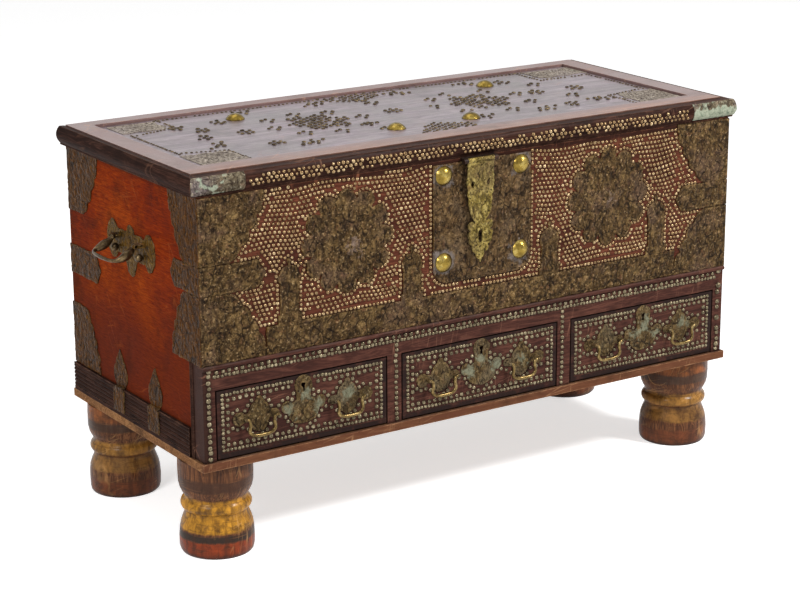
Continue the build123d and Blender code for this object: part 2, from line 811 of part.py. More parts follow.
def hasp_face():
    """Hasp outline hung from the pivot at the origin: lobed body, neck and scalloped finial."""
    half = hasp_width / 2
    neck = hasp_neck_width / 2
    body = hasp_neck_drop
    tail = hasp_length - body
    face = make_face([
        Line((0, 0), (half, 0)),
        Line((half, 0), (half, -0.24 * body)),
        ThreePointArc((half, -0.24 * body), (1.07 * half, -0.36 * body), (0.96 * half, -0.47 * body)),
        ThreePointArc((0.96 * half, -0.47 * body), (1.02 * half, -0.53 * body), (0.9 * half, -0.6 * body)),
        ThreePointArc((0.9 * half, -0.6 * body), (0.79 * half, -0.82 * body), (neck, -body)),
        Line((neck, -body), (0.74 * half, -body - 0.18 * tail)),
        ThreePointArc(
            (0.74 * half, -body - 0.18 * tail), (0.94 * half, -body - 0.28 * tail),
            (0.84 * half, -body - 0.4 * tail)),
        ThreePointArc(
            (0.84 * half, -body - 0.4 * tail), (0.83 * half, -body - 0.52 * tail),
            (0.6 * half, -body - 0.58 * tail)),
        ThreePointArc(
            (0.6 * half, -body - 0.58 * tail), (0.58 * half, -body - 0.7 * tail),
            (0.32 * half, -body - 0.76 * tail)),
        ThreePointArc(
            (0.32 * half, -body - 0.76 * tail), (0.27 * half, -body - 0.87 * tail),
            (0.1 * half, -body - 0.91 * tail)),
        Line((0.1 * half, -body - 0.91 * tail), (0, -hasp_length)),
        Line((0, -hasp_length), (0, 0)),
    ])
    face += mirror(face, about=Plane.YZ)
    for side in (-1, 1):
        face += Pos(side * 0.64 * half, -body - 0.09 * tail) * Circle(hasp_finial_radius)
        face -= Pos(side * 0.62 * half, -0.38 * body) * Ellipse(hasp_eye_radius, 2 * hasp_eye_radius)
    slot = SlotOverall(hasp_slot_length, hasp_slot_width, rotation=90)
    return face - Pos(0, -body - 0.35 * tail) * slot


def make_hasp():
    """Hinged hasp that hangs over the lock plate."""
    plane = front_plane(hasp_y + hasp_thickness / 2) * Pos(hasp_offset, hasp_z)
    plate = extrude(plane * hasp_face(), hasp_thickness)
    half = hasp_width / 2
    hasp = plate + along_x(knuckle_radius, hasp_offset - half, hasp_offset + half, hasp_y, hasp_z)
    return hasp - along_x(
        pin_radius + bearing_gap, hasp_offset - half, hasp_offset + half, hasp_y, hasp_z)


def make_hasp_bracket():
    """Bracket under the lid that carries the hasp between its two outer knuckles."""
    half_hasp = hasp_width / 2 + knuckle_gap
    half_barrel = half_hasp + hasp_knuckle_end
    boss_half = hasp_boss_spacing / 2 + 4 * shank_radius
    back = hasp_y + hasp_bracket_depth
    shoulder = body_front + panel_thickness + notch_gap
    face = make_face(Polyline(
        (hasp_offset - half_barrel, hasp_y), (hasp_offset + half_barrel, hasp_y),
        (hasp_offset + half_barrel, shoulder), (boss_half, front_boss_y - 4 * shank_radius),
        (boss_half, back), (-boss_half, back), (-boss_half, front_boss_y - 4 * shank_radius),
        (hasp_offset - half_barrel, shoulder), close=True))
    bracket = extrude(Plane((0, 0, strap_bottom)) * face, hinge_leaf_thickness)
    swing = knuckle_radius + knuckle_gap
    bracket -= block(
        hasp_offset - half_hasp, hasp_offset + half_hasp, hasp_y - swing, hasp_y + swing,
        strap_bottom, lid_bottom)
    for side in (-1, 1):
        inner_x = hasp_offset + side * half_hasp
        outer_x = hasp_offset + side * half_barrel
        bracket += along_x(knuckle_radius, inner_x, outer_x, hasp_y, hasp_z)
        bracket -= along_x(pin_radius + bearing_gap, inner_x, outer_x, hasp_y, hasp_z)
        bracket -= Pos(side * hasp_boss_spacing / 2, front_boss_y, lid_bottom) * Cylinder(
            shank_radius + shank_gap, 4 * hinge_leaf_thickness)
    return bracket


def make_hasp_pin():
    """Pin of the hasp."""
    half = hasp_width / 2 + knuckle_gap + hasp_knuckle_end
    return along_x(pin_radius, hasp_offset - half, hasp_offset + half, hasp_y, hasp_z)


def make_lid_bosses():
    """The four boss nails of the lid."""
    boss = make_boss()
    return [Pos(x, y, border_bottom) * boss for x, y in lid_boss_places()]


def keyhole(x, y0, y1):
    """Keyhole cut: a round eye over a narrower slot."""
    eye = along_y(keyhole_width / 2, y0, y1, x, keyhole_z + keyhole_height / 2 - keyhole_width / 2)
    slot_half = keyhole_width * 0.3
    slot = block(
        x - slot_half, x + slot_half, y0, y1,
        keyhole_z - keyhole_height / 2, keyhole_z + keyhole_height / 2 - keyhole_width / 2)
    return eye + slot


def make_drawer_front(x):
    """Drawer front with its keyhole."""
    half = drawer_front_width / 2
    front = block(
        x - half, x + half, body_front, drawer_box_front, drawer_front_bottom, drawer_front_top)
    return front - keyhole(x, body_front, drawer_box_front)


def make_drawer_box(x):
    """Two sides, a back and a bottom board behind a drawer front."""
    half = drawer_box_width / 2
    inner = half - drawer_box_wall
    low = drawer_box_bottom
    floor = low + drawer_bottom_thickness
    high = low + drawer_box_height
    back_inner = drawer_box_back - drawer_box_wall
    return [
        block(x - half, x - inner, drawer_box_front, drawer_box_back, low, high),
        block(x + inner, x + half, drawer_box_front, drawer_box_back, low, high),
        block(x - inner, x + inner, back_inner, drawer_box_back, low, high),
        block(x - inner, x + inner, drawer_box_front, back_inner, low, floor),
    ]


def make_drawer_lock(x):
    """Lock case behind a drawer front, with the key slot through its face."""
    half = lock_case_width / 2
    back = drawer_box_front + lock_case_depth
    top = min(drawer_front_top, keyhole_z + lock_case_height / 2)
    case = block(x - half, x + half, drawer_box_front, back, top - lock_case_height, top)
    return case - keyhole(x, drawer_box_front, back)


def make_escutcheon(x):
    """Domed keyhole plate that widens into a shield with two small wings."""
    top = drawer_front_top - tier_bottom
    dome = escutcheon_width / 2
    shield = top - escutcheon_height + escutcheon_shield_height / 2
    face = Pos(0, top - dome) * Circle(dome)
    face += Pos(0, (top - dome + shield) / 2) * Rectangle(escutcheon_width * 0.84, top - dome - shield)
    face += Pos(0, shield) * Ellipse(escutcheon_shield_width / 2, escutcheon_shield_height / 2)
    for side in (-1, 1):
        face += Pos(side * escutcheon_wing_spacing / 2, shield + escutcheon_wing) * Circle(escutcheon_wing)
    plate = extrude(front_plane(body_front) * Pos(x, tier_bottom) * face, sheet)
    return plate - keyhole(x, body_front - sheet, body_front)


def make_pull_plate(x, outer):
    """Bat-wing plate with the two pierced posts of a bail; outer is the side away from the keyhole."""
    half = pull_post_spacing / 2
    face = Ellipse(pull_centre_width / 2, pull_centre_height / 2)
    face += Rectangle(pull_post_spacing, 2 * pull_wing_radius)
    face += Pos(0, pull_centre_height / 2) * Circle(pull_lobe_radius)
    face += Pos(outer * (half + pull_wing_radius), 0) * Circle(pull_outer_lobe_radius)
    for side in (-1, 1):
        face += Pos(side * half, 0) * Circle(pull_wing_radius)
    plate = extrude(front_plane(body_front) * Pos(x, pull_z) * face, sheet)
    pivot_y = body_front - sheet - pull_pivot_standoff
    for side in (-1, 1):
        post_x = x + side * half
        plate += along_y(pull_post_radius, pivot_y, body_front, post_x, pull_z)
        plate += Pos(post_x, pivot_y, pull_z) * Sphere(pull_post_radius)
        plate -= along_x(
            bail_pin_radius + bearing_gap,
            post_x - 2 * pull_post_radius, post_x + 2 * pull_post_radius, pivot_y, pull_z)
    return plate


def make_bail(x):
    """Wire bail that hangs from its two posts."""
    pivot_y = body_front - sheet - pull_pivot_standoff
    arm_x = pull_post_spacing / 2 - pull_post_radius - bail_wire_radius - post_side_gap
    pin_x = pull_post_spacing / 2 + pull_post_radius
    low = pull_z - bail_drop
    route = FilletPolyline(
        (x - arm_x, pivot_y, pull_z), (x - arm_x, pivot_y, low),
        (x + arm_x, pivot_y, low), (x + arm_x, pivot_y, pull_z), radius=bail_corner)
    section = Plane(route @ 0, z_dir=route % 0) * Circle(bail_wire_radius)
    bail = sweep(section, route)
    for side in (-1, 1):
        bail += Pos(x + side * arm_x, pivot_y, pull_z) * Sphere(bail_wire_radius)
        bail += along_x(bail_pin_radius, x + side * arm_x, x + side * pin_x, pivot_y, pull_z)
    return bail


def save_body():
    """Wooden body of the chest."""
    save("base_board", make_base_board())
    foot = make_foot()
    for name, (x, y) in foot_centres().items():
        save(name, Pos(x, y, 0) * foot)
    end = make_end_panel()
    save("left_end_panel", end)
    save("right_end_panel", other_side(end))
    save("front_panel", make_front_panel())
    save("back_panel", make_back_panel())
    save("chest_floor", make_chest_floor())
    save("drawer_rail", make_rail())
    save("waist_moulding", make_waist_moulding())
    save("corner_stiles", pair(make_stile()))
    save("drawer_muntins", group(make_muntin(x) for x in muntin_centres()))
    save("drawer_partitions", group(make_partition(x) for x in muntin_centres()))
    save("end_base_mouldings", pair(make_reed_moulding()))


def save_body_brass():
    """Brass sheet, bosses, handle plates and hinge leaves on the body."""
    top = body_top - corner_top_gap
    upper = wrap_plate(leaf_outline, upper_corner_height, top - upper_corner_height, False)
    middle = wrap_plate(
        tongue_outline, middle_corner_height, top - middle_corner_drop - middle_corner_height, False)
    lower = wrap_plate(leaf_outline, lower_corner_height, rail_top, True)
    save("upper_corner_plates", pair(upper))
    save("middle_corner_plates", pair(middle))
    save("lower_corner_plates", pair(lower))
    back_plates = make_back_plates()
    save("back_corner_plates", group(back_plates + [other_side(plate) for plate in back_plates]))
    save("bottom_band", make_bottom_band())
    save("medallions", pair(make_medallion()))
    outer = make_minaret(-minaret_outer_x, minaret_outer_height)
    inner = make_minaret(-minaret_inner_x, minaret_inner_height)
    save("minaret_plates", group([outer, inner, other_side(inner), other_side(outer)]))
    spears = [make_spear(-spear_spacing / 2), make_spear(spear_spacing / 2)]
    save("spear_plates", group(spears + [other_side(spear) for spear in spears]))
    save("lock_plate", make_lock_plate())
    save("lock_plate_bosses", group(make_lock_bosses()))
    save("side_handle_plates", pair(make_handle_plate()))
    save("fixed_hinge_leaves", group(make_fixed_leaf(x) for x in hinge_places()))
    save("hinge_pins", group(make_hinge_pin(x) for x in hinge_places()))


def save_lid():
    """Lid boards, mouldings, fittings and hasp."""
    save("lid_board", make_lid_board())
    save("lid_border_strips", group(make_border_strips()))
    mouldings = make_mouldings()
    save("lid_front_moulding", mouldings["front"])
    save("lid_side_and_back_mouldings", group(
        [mouldings["back"], mouldings["left"], other_side(mouldings["left"])]))
    save("lid_corner_caps", pair(make_corner_cap(mouldings["front"])))
    save("lid_bosses", group(make_lid_bosses()))
    save("hinge_straps", group(make_hinge_strap(x) for x in hinge_places()))
    save("hasp_bracket", make_hasp_bracket())
    save("hasp_pin", make_hasp_pin())
    save("hasp", make_hasp())


def save_drawers():
    """Drawers with their plates, locks and bails."""
    names = ("left", "middle", "right")
    for index in range(drawer_count):
        name = names[index] + "_drawer"
        x = (index - (drawer_count - 1) / 2) * drawer_pitch
        sides = {"left": -1, "right": 1}
        pulls = [make_pull_plate(x + side * pull_spacing / 2, side) for side in sides.values()]
        save(name + "_front", make_drawer_front(x))
        save(name + "_box", group(make_drawer_box(x)))
        save(name + "_lock", make_drawer_lock(x))
        save(name + "_plates", group([make_escutcheon(x)] + pulls))
        for side_name, side in sides.items():
            save(name + "_" + side_name + "_bail", make_bail(x + side * pull_spacing / 2))


def save_handles():
    """Carrying handles."""
    handle = make_handle()
    save("left_handle", handle)
    save("right_handle", other_side(handle))


os.makedirs("parts", exist_ok=True)
save_body()
save_body_brass()
save_lid()
save_drawers()
save_handles()
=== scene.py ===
import bpy
import bmesh
import json
import math
import random
from mathutils import Matrix, Vector, kdtree, noise
from mathutils.bvhtree import BVHTree

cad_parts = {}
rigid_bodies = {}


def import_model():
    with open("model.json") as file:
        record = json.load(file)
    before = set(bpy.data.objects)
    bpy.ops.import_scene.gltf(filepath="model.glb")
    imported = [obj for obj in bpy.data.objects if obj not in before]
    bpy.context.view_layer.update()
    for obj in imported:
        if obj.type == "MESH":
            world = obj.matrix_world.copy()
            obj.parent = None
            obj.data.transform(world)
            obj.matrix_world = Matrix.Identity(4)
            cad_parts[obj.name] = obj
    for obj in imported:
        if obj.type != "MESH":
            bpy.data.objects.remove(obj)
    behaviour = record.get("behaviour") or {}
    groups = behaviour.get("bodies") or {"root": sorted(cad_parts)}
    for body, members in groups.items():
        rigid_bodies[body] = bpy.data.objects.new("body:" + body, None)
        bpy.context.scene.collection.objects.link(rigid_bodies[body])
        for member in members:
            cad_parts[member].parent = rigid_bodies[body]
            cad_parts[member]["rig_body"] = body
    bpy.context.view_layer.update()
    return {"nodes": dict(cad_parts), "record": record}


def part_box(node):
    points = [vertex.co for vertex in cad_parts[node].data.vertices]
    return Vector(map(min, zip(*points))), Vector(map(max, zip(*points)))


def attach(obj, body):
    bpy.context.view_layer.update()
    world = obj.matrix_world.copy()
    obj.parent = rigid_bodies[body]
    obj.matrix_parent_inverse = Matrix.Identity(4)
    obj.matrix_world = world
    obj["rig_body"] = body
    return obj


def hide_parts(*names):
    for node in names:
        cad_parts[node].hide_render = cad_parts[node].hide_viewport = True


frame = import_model()
nodes = frame["nodes"]
mm = 0.001
dice = random.Random(7)
noise.seed_set(7)  # without it the noise starts from the clock
print("frame loaded:", len(nodes), "nodes")

cameraSettings = {
    "azimuth": -33.25, "elevation": 16.45, "roll": -0.247,
    "place": (-2.169, -3.2863, 1.4606), "lens": 103.3,
}


def addCamera(settings):
    turn, rise, roll = (math.radians(settings[key]) for key in ("azimuth", "elevation", "roll"))
    back = Vector((math.sin(turn) * math.cos(rise), -math.cos(turn) * math.cos(rise), math.sin(rise)))
    right = Vector((0, 0, 1)).cross(back).normalized()
    up = back.cross(right)
    rolledRight = math.cos(roll) * right + math.sin(roll) * up
    rolledUp = math.cos(roll) * up - math.sin(roll) * right
    data = bpy.data.cameras.new("camera")
    data.lens = settings["lens"]
    data.sensor_width = 36
    data.clip_end = 60
    camera = bpy.data.objects.new("camera", data)
    bpy.context.scene.collection.objects.link(camera)
    pose = Matrix((rolledRight, rolledUp, back)).transposed().to_4x4()
    pose.translation = Vector(settings["place"])
    camera.matrix_world = pose
    bpy.context.scene.camera = camera


lampSettings = {
    "key": {"place": (2.0, -2.5, 3.1), "size": (0.7, 0.6), "power": 135, "aim": (0, 0, 0.45)},
    "fill": {"place": (-3.0, -1.3, 2.5), "size": (1.2, 1.0), "power": 62, "aim": (0, 0, 0.4)},
    "top": {"place": (-0.2, 0.8, 3.2), "size": (2.2, 1.2), "power": 12, "aim": (0, 0, 0.6)},
}


def addLamp(name, settings):
    data = bpy.data.lights.new(name, "AREA")
    data.shape = "RECTANGLE"
    data.size, data.size_y = settings["size"]
    data.energy = settings["power"]
    lamp = bpy.data.objects.new(name, data)
    bpy.context.scene.collection.objects.link(lamp)
    lamp.location = settings["place"]
    away = Vector(settings["place"]) - Vector(settings["aim"])
    lamp.rotation_euler = away.to_track_quat("Z", "Y").to_euler()


# Short names for the nodes that every finish uses. Tones are screen values from 0 to 255, a
# scale says how many patches fit in a metre, and fade runs from where it starts to where it is full.

def tone(red, green, blue):
    linear = []
    for part in (red, green, blue):
        part /= 255
        linear.append(part / 12.92 if part <= 0.04045 else ((part + 0.055) / 1.055) ** 2.4)
    return (*linear, 1.0)


def feed(tree, node, feeds):
    for key, value in feeds.items():
        if isinstance(value, bpy.types.NodeSocket):
            tree.links.new(value, node.inputs[key])
        else:
            node.inputs[key].default_value = value


def put(tree, kind, feeds=None, **settings):
    node = tree.nodes.new("ShaderNode" + kind)
    for key, value in settings.items():
        setattr(node, key, value)
    feed(tree, node, feeds or {})
    return node


def reckon(tree, how, first, second=0.0, clamp=False):
    return put(tree, "Math", {0: first, 1: second}, operation=how, use_clamp=clamp).outputs[0]


def times(tree, first, second):
    return reckon(tree, "MULTIPLY", first, second)


def plus(tree, first, second, clamp=False):
    return reckon(tree, "ADD", first, second, clamp)


def less(tree, first, second):
    return reckon(tree, "SUBTRACT", first, second)


def larger(tree, first, second):
    return reckon(tree, "MAXIMUM", first, second)


def unsigned(tree, value):
    return reckon(tree, "ABSOLUTE", value)


def stretched(tree, vector, by):
    return put(tree, "VectorMath", {0: vector, 1: by}, operation="MULTIPLY").outputs[0]


def axisOf(tree, vector, axis):
    return put(tree, "SeparateXYZ", {0: vector}).outputs[axis]


def facingOf(tree, axis):
    return axisOf(tree, put(tree, "NewGeometry").outputs["Normal"], axis)


def blendTones(tree, share, first, second, how="MIX"):
    return put(tree, "Mix", {0: share, 6: first, 7: second}, data_type="RGBA", blend_type=how).outputs[2]


def fade(tree, value, low, high, start=0.0, end=1.0):
    feeds = {"Value": value, "From Min": low, "From Max": high, "To Min": start, "To Max": end}
    return put(tree, "MapRange", feeds).outputs[0]


def ladder(tree, value, *stops):
    node = put(tree, "ValToRGB", {0: value})
    rungs = node.color_ramp.elements
    rungs[0].position, rungs[1].position = stops[0][0], stops[-1][0]
    for place, _ in stops[1:-1]:
        rungs.new(place)
    for rung, (_, colour) in zip(rungs, stops):
        rung.color = tone(*colour)
    return node.outputs[0]


def cover(tree, colour, *layers, how="MIX"):
    for mask, strength, over in layers:  # where, how strongly, which tone or colour
        share = mask if strength == 1 else times(tree, mask, strength)
        if not isinstance(over, bpy.types.NodeSocket):
            over = tone(*over)
        colour = blendTones(tree, share, colour, over, how)
    return colour


def spread(tree, place, scale, detail=3.0, rough=0.55, warp=0.0):
    feeds = {"Vector": place, "Scale": scale, "Detail": detail, "Roughness": rough, "Distortion": warp}
    return put(tree, "TexNoise", feeds).outputs[0]


def painted(tree, layer):
    return put(tree, "Attribute", attribute_name=layer).outputs["Fac"]


def startGroup(name, takes, gives):
    group = bpy.data.node_groups.new(name, "ShaderNodeTree")
    for label, kind, value in takes:
        socket = group.interface.new_socket(label, in_out="INPUT", socket_type="NodeSocket" + kind)
        if value is not None:
            socket.default_value = value
    for label in gives:
        group.interface.new_socket(label, in_out="OUTPUT", socket_type="NodeSocketFloat")
    return group, group.nodes.new("NodeGroupInput").outputs, group.nodes.new("NodeGroupOutput").inputs


def endGroup(group, ends, results):
    for label, socket in results.items():
        group.links.new(socket, ends[label])
    return group


def useGroup(tree, group, feeds):
    return put(tree, "Group", feeds, node_tree=group).outputs


# Effects that several finishes share.

def makeGrainGroup():
    group, take, give = startGroup("timberGrain", [
        ("Place", "Vector", None), ("Stretch", "Vector", (1, 14, 14)), ("Scale", "Float", 3.0)],
        ["Figure", "Fibre", "Blotch", "Height"])
    drawn = stretched(group, take["Place"], take["Stretch"])
    figure = spread(group, drawn, take["Scale"], 5, 0.6, 0.9)
    rings = reckon(group, "FRACT", times(group, figure, 7.0))
    rings = unsigned(group, less(group, rings, 0.5))
    fine = spread(group, drawn, times(group, take["Scale"], 11.0), 3, 0.7)
    blotch = spread(group, take["Place"], 6.5, 4, 0.6, 0.6)
    figured = plus(group, times(group, figure, 0.6), times(group, rings, 0.8))
    height = plus(group, times(group, fine, 0.7), times(group, rings, 0.4))
    return endGroup(group, give, {"Figure": figured, "Fibre": fine, "Blotch": blotch, "Height": height})


def makeWearGroup():
    group, take, give = startGroup("handlingWear", [
        ("Place", "Vector", None), ("Lean", "Float", 0.6), ("Scale", "Float", 30.0)],
        ["Scratch", "Stain", "Speck"])
    lines = []
    for lean, stretch in ((1.0, (0.06, 0.06, 1)), (-0.7, (1, 0.06, 0.06))):
        turned = put(group, "VectorRotate", {
            "Vector": take["Place"], "Axis": (0.35, 0.5, 0.79),
            "Angle": times(group, take["Lean"], lean)}, rotation_type="AXIS_ANGLE")
        pulled = stretched(group, turned.outputs[0], stretch)
        field = spread(group, pulled, times(group, take["Scale"], 1.7), 2, 0.5)
        near = unsigned(group, less(group, field, 0.5))
        lines.append(fade(group, near, 0.012, 0.0))
    broken = fade(group, spread(group, take["Place"], 16.0, 3), 0.52, 0.62)
    scratch = times(group, larger(group, *lines), broken)
    stain = spread(group, take["Place"], times(group, take["Scale"], 0.35), 5, 0.65, 0.5)
    stain = fade(group, stain, 0.52, 0.7)
    cells = put(group, "TexVoronoi", {"Vector": take["Place"], "Scale": times(group, take["Scale"], 6.0)})
    speck = fade(group, cells.outputs["Distance"], 0.2, 0.08)
    sparse = fade(group, spread(group, take["Place"], 40.0, 2), 0.55, 0.6)
    speck = times(group, speck, sparse)
    return endGroup(group, give, {"Scratch": scratch, "Stain": stain, "Speck": speck})


def makeRubGroup():
    group, take, give = startGroup("rubbedEdge", [
        ("Place", "Vector", None), ("Width", "Float", 0.002)], ["Edge"])
    soft = put(group, "Bevel", {"Radius": take["Width"]}, samples=4).outputs[0]
    hard = put(group, "NewGeometry").outputs["Normal"]
    likeness = put(group, "VectorMath", {0: soft, 1: hard}, operation="DOT_PRODUCT").outputs["Value"]
    edge = fade(group, likeness, 0.995, 0.86)
    rough = fade(group, spread(group, take["Place"], 55.0, 4, 0.7), 0.38, 0.62)
    return endGroup(group, give, {"Edge": times(group, edge, rough)})


def makeTarnishGroup():
    group, take, give = startGroup("brassTarnish", [
        ("Place", "Vector", None), ("Scale", "Float", 60.0), ("Green", "Float", 0.2)],
        ["Cloud", "Grime", "Pit", "Bloom", "Height"])
    cloud = spread(group, take["Place"], take["Scale"], 6, 0.68, 0.4)
    grime = fade(group, spread(group, take["Place"], times(group, take["Scale"], 3.1), 4, 0.7), 0.46, 0.66)
    cells = put(group, "TexVoronoi", {
        "Vector": take["Place"], "Scale": times(group, take["Scale"], 5.5)}, feature="SMOOTH_F1")
    pit = fade(group, cells.outputs["Distance"], 0.24, 0.1)
    pit = times(group, pit, fade(group, cloud, 0.45, 0.6))
    field = spread(group, take["Place"], times(group, take["Scale"], 0.55), 6, 0.72, 0.8)
    level = less(group, 0.86, times(group, take["Green"], 0.55))
    bloom = fade(group, less(group, field, level), -0.06, 0.05)
    height = plus(group, times(group, cloud, 0.5), times(group, bloom, 0.5))
    height = less(group, height, times(group, pit, 0.6))
    return endGroup(group, give, {
        "Cloud": cloud, "Grime": grime, "Pit": pit, "Bloom": bloom, "Height": height})


def makeDustGroup():
    group, take, give = startGroup(
        "settledDust", [("Place", "Vector", None), ("Reach", "Float", 0.5)], ["Dust"])
    lying = times(group, fade(group, facingOf(group, "Z"), 0.1, 0.9), take["Reach"])
    patchy = fade(group, spread(group, take["Place"], 28.0, 5, 0.7), 0.35, 0.7)
    return endGroup(group, give, {"Dust": times(group, lying, patchy)})


# Painted shade: ambient occlusion darkens corners, creases and the gaps beside studs and plates.
def makeCornerShadeGroup():
    group, take, give = startGroup(
        "cornerGrime", [("Place", "Vector", None), ("Reach", "Float", 0.004)], ["Grime"])
    near = put(group, "AmbientOcclusion", {"Distance": take["Reach"]}, samples=6).outputs["AO"]
    uneven = fade(group, spread(group, take["Place"], 90.0, 3, 0.6), 0.3, 0.7, 0.6, 1.0)
    return endGroup(group, give, {"Grime": times(group, fade(group, near, 0.95, 0.35), uneven)})


def makePunchGroup():
    group, take, give = startGroup(
        "punchedWork", [("Place", "Vector", None)], ["Fleck", "Hollow", "Height"])
    drift = put(group, "TexNoise", {"Vector": take["Place"], "Scale": 60.0, "Detail": 2.0}).outputs["Color"]
    drift = stretched(group, drift, (0.014, 0.014, 0.014))
    bent = put(group, "VectorMath", {0: take["Place"], 1: drift}, operation="ADD").outputs[0]
    tall = stretched(group, bent, (1.0, 1.0, 0.5))
    leaves = put(group, "TexVoronoi", {"Vector": tall, "Scale": 72.0}, feature="DISTANCE_TO_EDGE")
    leaves = leaves.outputs["Distance"]
    dots = put(group, "TexVoronoi", {"Vector": bent, "Scale": 150.0}).outputs["Distance"]
    fine = spread(group, take["Place"], 190.0, 4, 0.8)
    coarse = spread(group, take["Place"], 36.0, 3, 0.6)
    groove = times(group, fade(group, leaves, 0.09, 0.02), fade(group, coarse, 0.44, 0.6))
    pit = times(group, fade(group, dots, 0.3, 0.14), fade(group, coarse, 0.6, 0.48))
    fleck = fade(group, fine, 0.56, 0.68)
    hollow = larger(group, groove, larger(group, pit, fade(group, fine, 0.45, 0.34)))
    domed = plus(group, times(group, fine, 1.3), fade(group, leaves, 0.0, 0.3))
    height = less(group, domed, times(group, pit, 0.8))
    return endGroup(group, give, {"Fleck": fleck, "Hollow": hollow, "Height": height})


grainGroup = makeGrainGroup()
punchGroup = makePunchGroup()
wearGroup = makeWearGroup()
rubGroup = makeRubGroup()
tarnishGroup = makeTarnishGroup()
dustGroup = makeDustGroup()
cornerShadeGroup = makeCornerShadeGroup()
print("shared effects ready")


def startFinish(name):
    material = bpy.data.materials.new(name)
    material.use_nodes = True
    return material, material.node_tree, put(material.node_tree, "TexCoord").outputs["Object"]


def endFinish(material, height, bump, feeds):
    tree = material.node_tree
    bump = put(tree, "Bump", {"Height": height, "Strength": bump[0], "Distance": bump[1]})
    feed(tree, tree.nodes["Principled BSDF"], {**feeds, "Normal": bump.outputs[0]})
    return material


alongX, alongY, alongZ = (1, 13, 13), (13, 1, 13), (13, 13, 1)
dustTone = (150, 138, 128)

# tones: the grain from deep to pale. tint: axis, where it starts and is full, colour. joint: the
# height of the joint between two boards. lining: how far out the bare inside reaches. grime and
# shade: how far the painted shade in corners reaches. All in metres.
woodDefaults = {
    "stretch": alongX, "scale": 4.5, "figure": 0.75, "fibre": 0.55, "scratch": 0.5, "dust": 0.18,
    "rubWidth": 0.002, "grime": 0.008, "tintDrift": 0.0, "specular": 0.3, "ior": 1.16, "coat": 0.0,
    "coatRough": 0.28, "bump": (0.35, 0.0008),
}

woodSettings = {
    "board_wood": {
        "tones": ((84, 54, 34), (134, 92, 58), (176, 130, 86)), "scale": 4.0, "stain": (50, 32, 22),
        "rub": (190, 144, 104), "rough": (0.55, 0.75), "rubWidth": 0.003, "grime": 0.006,
        "tint": ("Y", -0.226, -0.234, (98, 58, 44))},
    "front_wood": {
        "tones": ((56, 29, 21), (90, 48, 35), (124, 72, 52)), "scale": 6.0, "stain": (30, 16, 12),
        "rub": (160, 100, 72), "rough": (0.45, 0.62), "grime": 0.016,
        # The tint darkens the panel's top just under the lid: painted shadow of the lid's overhang.
        "tint": ("Z", 0.6, 0.6075, (30, 18, 15))},
    "end_wood": {
        "tones": ((66, 22, 12), (130, 43, 10), (166, 72, 20)), "stretch": alongY, "scale": 7.0,
        "stain": (50, 24, 15), "rub": (196, 110, 60), "rough": (0.42, 0.58), "rubWidth": 0.003,
        "grime": 0.02, "tint": ("Z", 0.53, 0.38, (98, 38, 18)), "tintDrift": 0.12, "joint": 0.492,
        "lining": (0.528, (112, 74, 50)), "scratch": 0.2, "figure": 0.4, "fibre": 0.8, "ior": 1.1,
        "specular": 0.15},
    "back_wood": {
        "tones": ((58, 34, 24), (84, 50, 34), (108, 68, 46)), "scale": 3.0, "stain": (40, 26, 18),
        "rub": (140, 92, 60), "rough": (0.55, 0.75), "rubWidth": 0.003, "grime": 0.01},
    "inner_wood": {
        "tones": ((120, 82, 52), (152, 110, 72), (178, 136, 94)), "scale": 3.4, "stain": (92, 62, 40),
        "rub": (196, 158, 116), "rough": (0.6, 0.8), "grime": 0.01},
    # drawer_wood's dark edge tone is painted shade on the fronts' edges and in their border band, for the
    # gaps round them.
    "drawer_wood": {
        "tones": ((44, 27, 23), (74, 44, 37), (104, 66, 54)), "stain": (30, 20, 17),
        "rub": (156, 110, 88), "edge": (38, 29, 27), "rough": (0.4, 0.58),
        "tint": ("X", -0.521, -0.529, (56, 37, 31)), "border": 0.008},
    "dark_wood": {
        "tones": ((30, 18, 14), (52, 32, 26), (82, 53, 43)), "stain": (24, 15, 13),
        "rub": (138, 100, 80), "rough": (0.32, 0.48), "coat": 0.02, "dust": 0.02, "ior": 1.07,
        "tint": ("X", -0.556, -0.566, (34, 20, 15))},
    "side_wood": {
        "tones": ((28, 17, 14), (50, 31, 25), (80, 53, 43)), "stretch": alongY, "stain": (24, 15, 13),
        "rub": (138, 100, 80), "rough": (0.32, 0.48), "coat": 0.02, "dust": 0.02, "ior": 1.06,
        "scratch": 0.3},
    "lid_wood": {
        "tones": ((48, 36, 40), (94, 76, 85), (150, 130, 142)), "scale": 3.0, "stain": (52, 38, 38),
        "rub": (156, 132, 128), "rough": (0.3, 0.44), "grime": 0.005, "coat": 0.3, "dust": 0.3,
        "specular": 0.5, "ior": 1.45, "tint": ("Z", 0.622, 0.614, (98, 64, 46))},
    "border_wood": {
        "tones": ((98, 66, 56), (134, 96, 82), (166, 124, 106)), "scale": 4.0, "stain": (74, 50, 42),
        "rub": (200, 158, 134), "rough": (0.32, 0.46), "grime": 0.004, "coat": 0.15, "specular": 0.4,
        "ior": 1.45, "tint": ("Y", -0.192, -0.17, (128, 104, 104))},
}


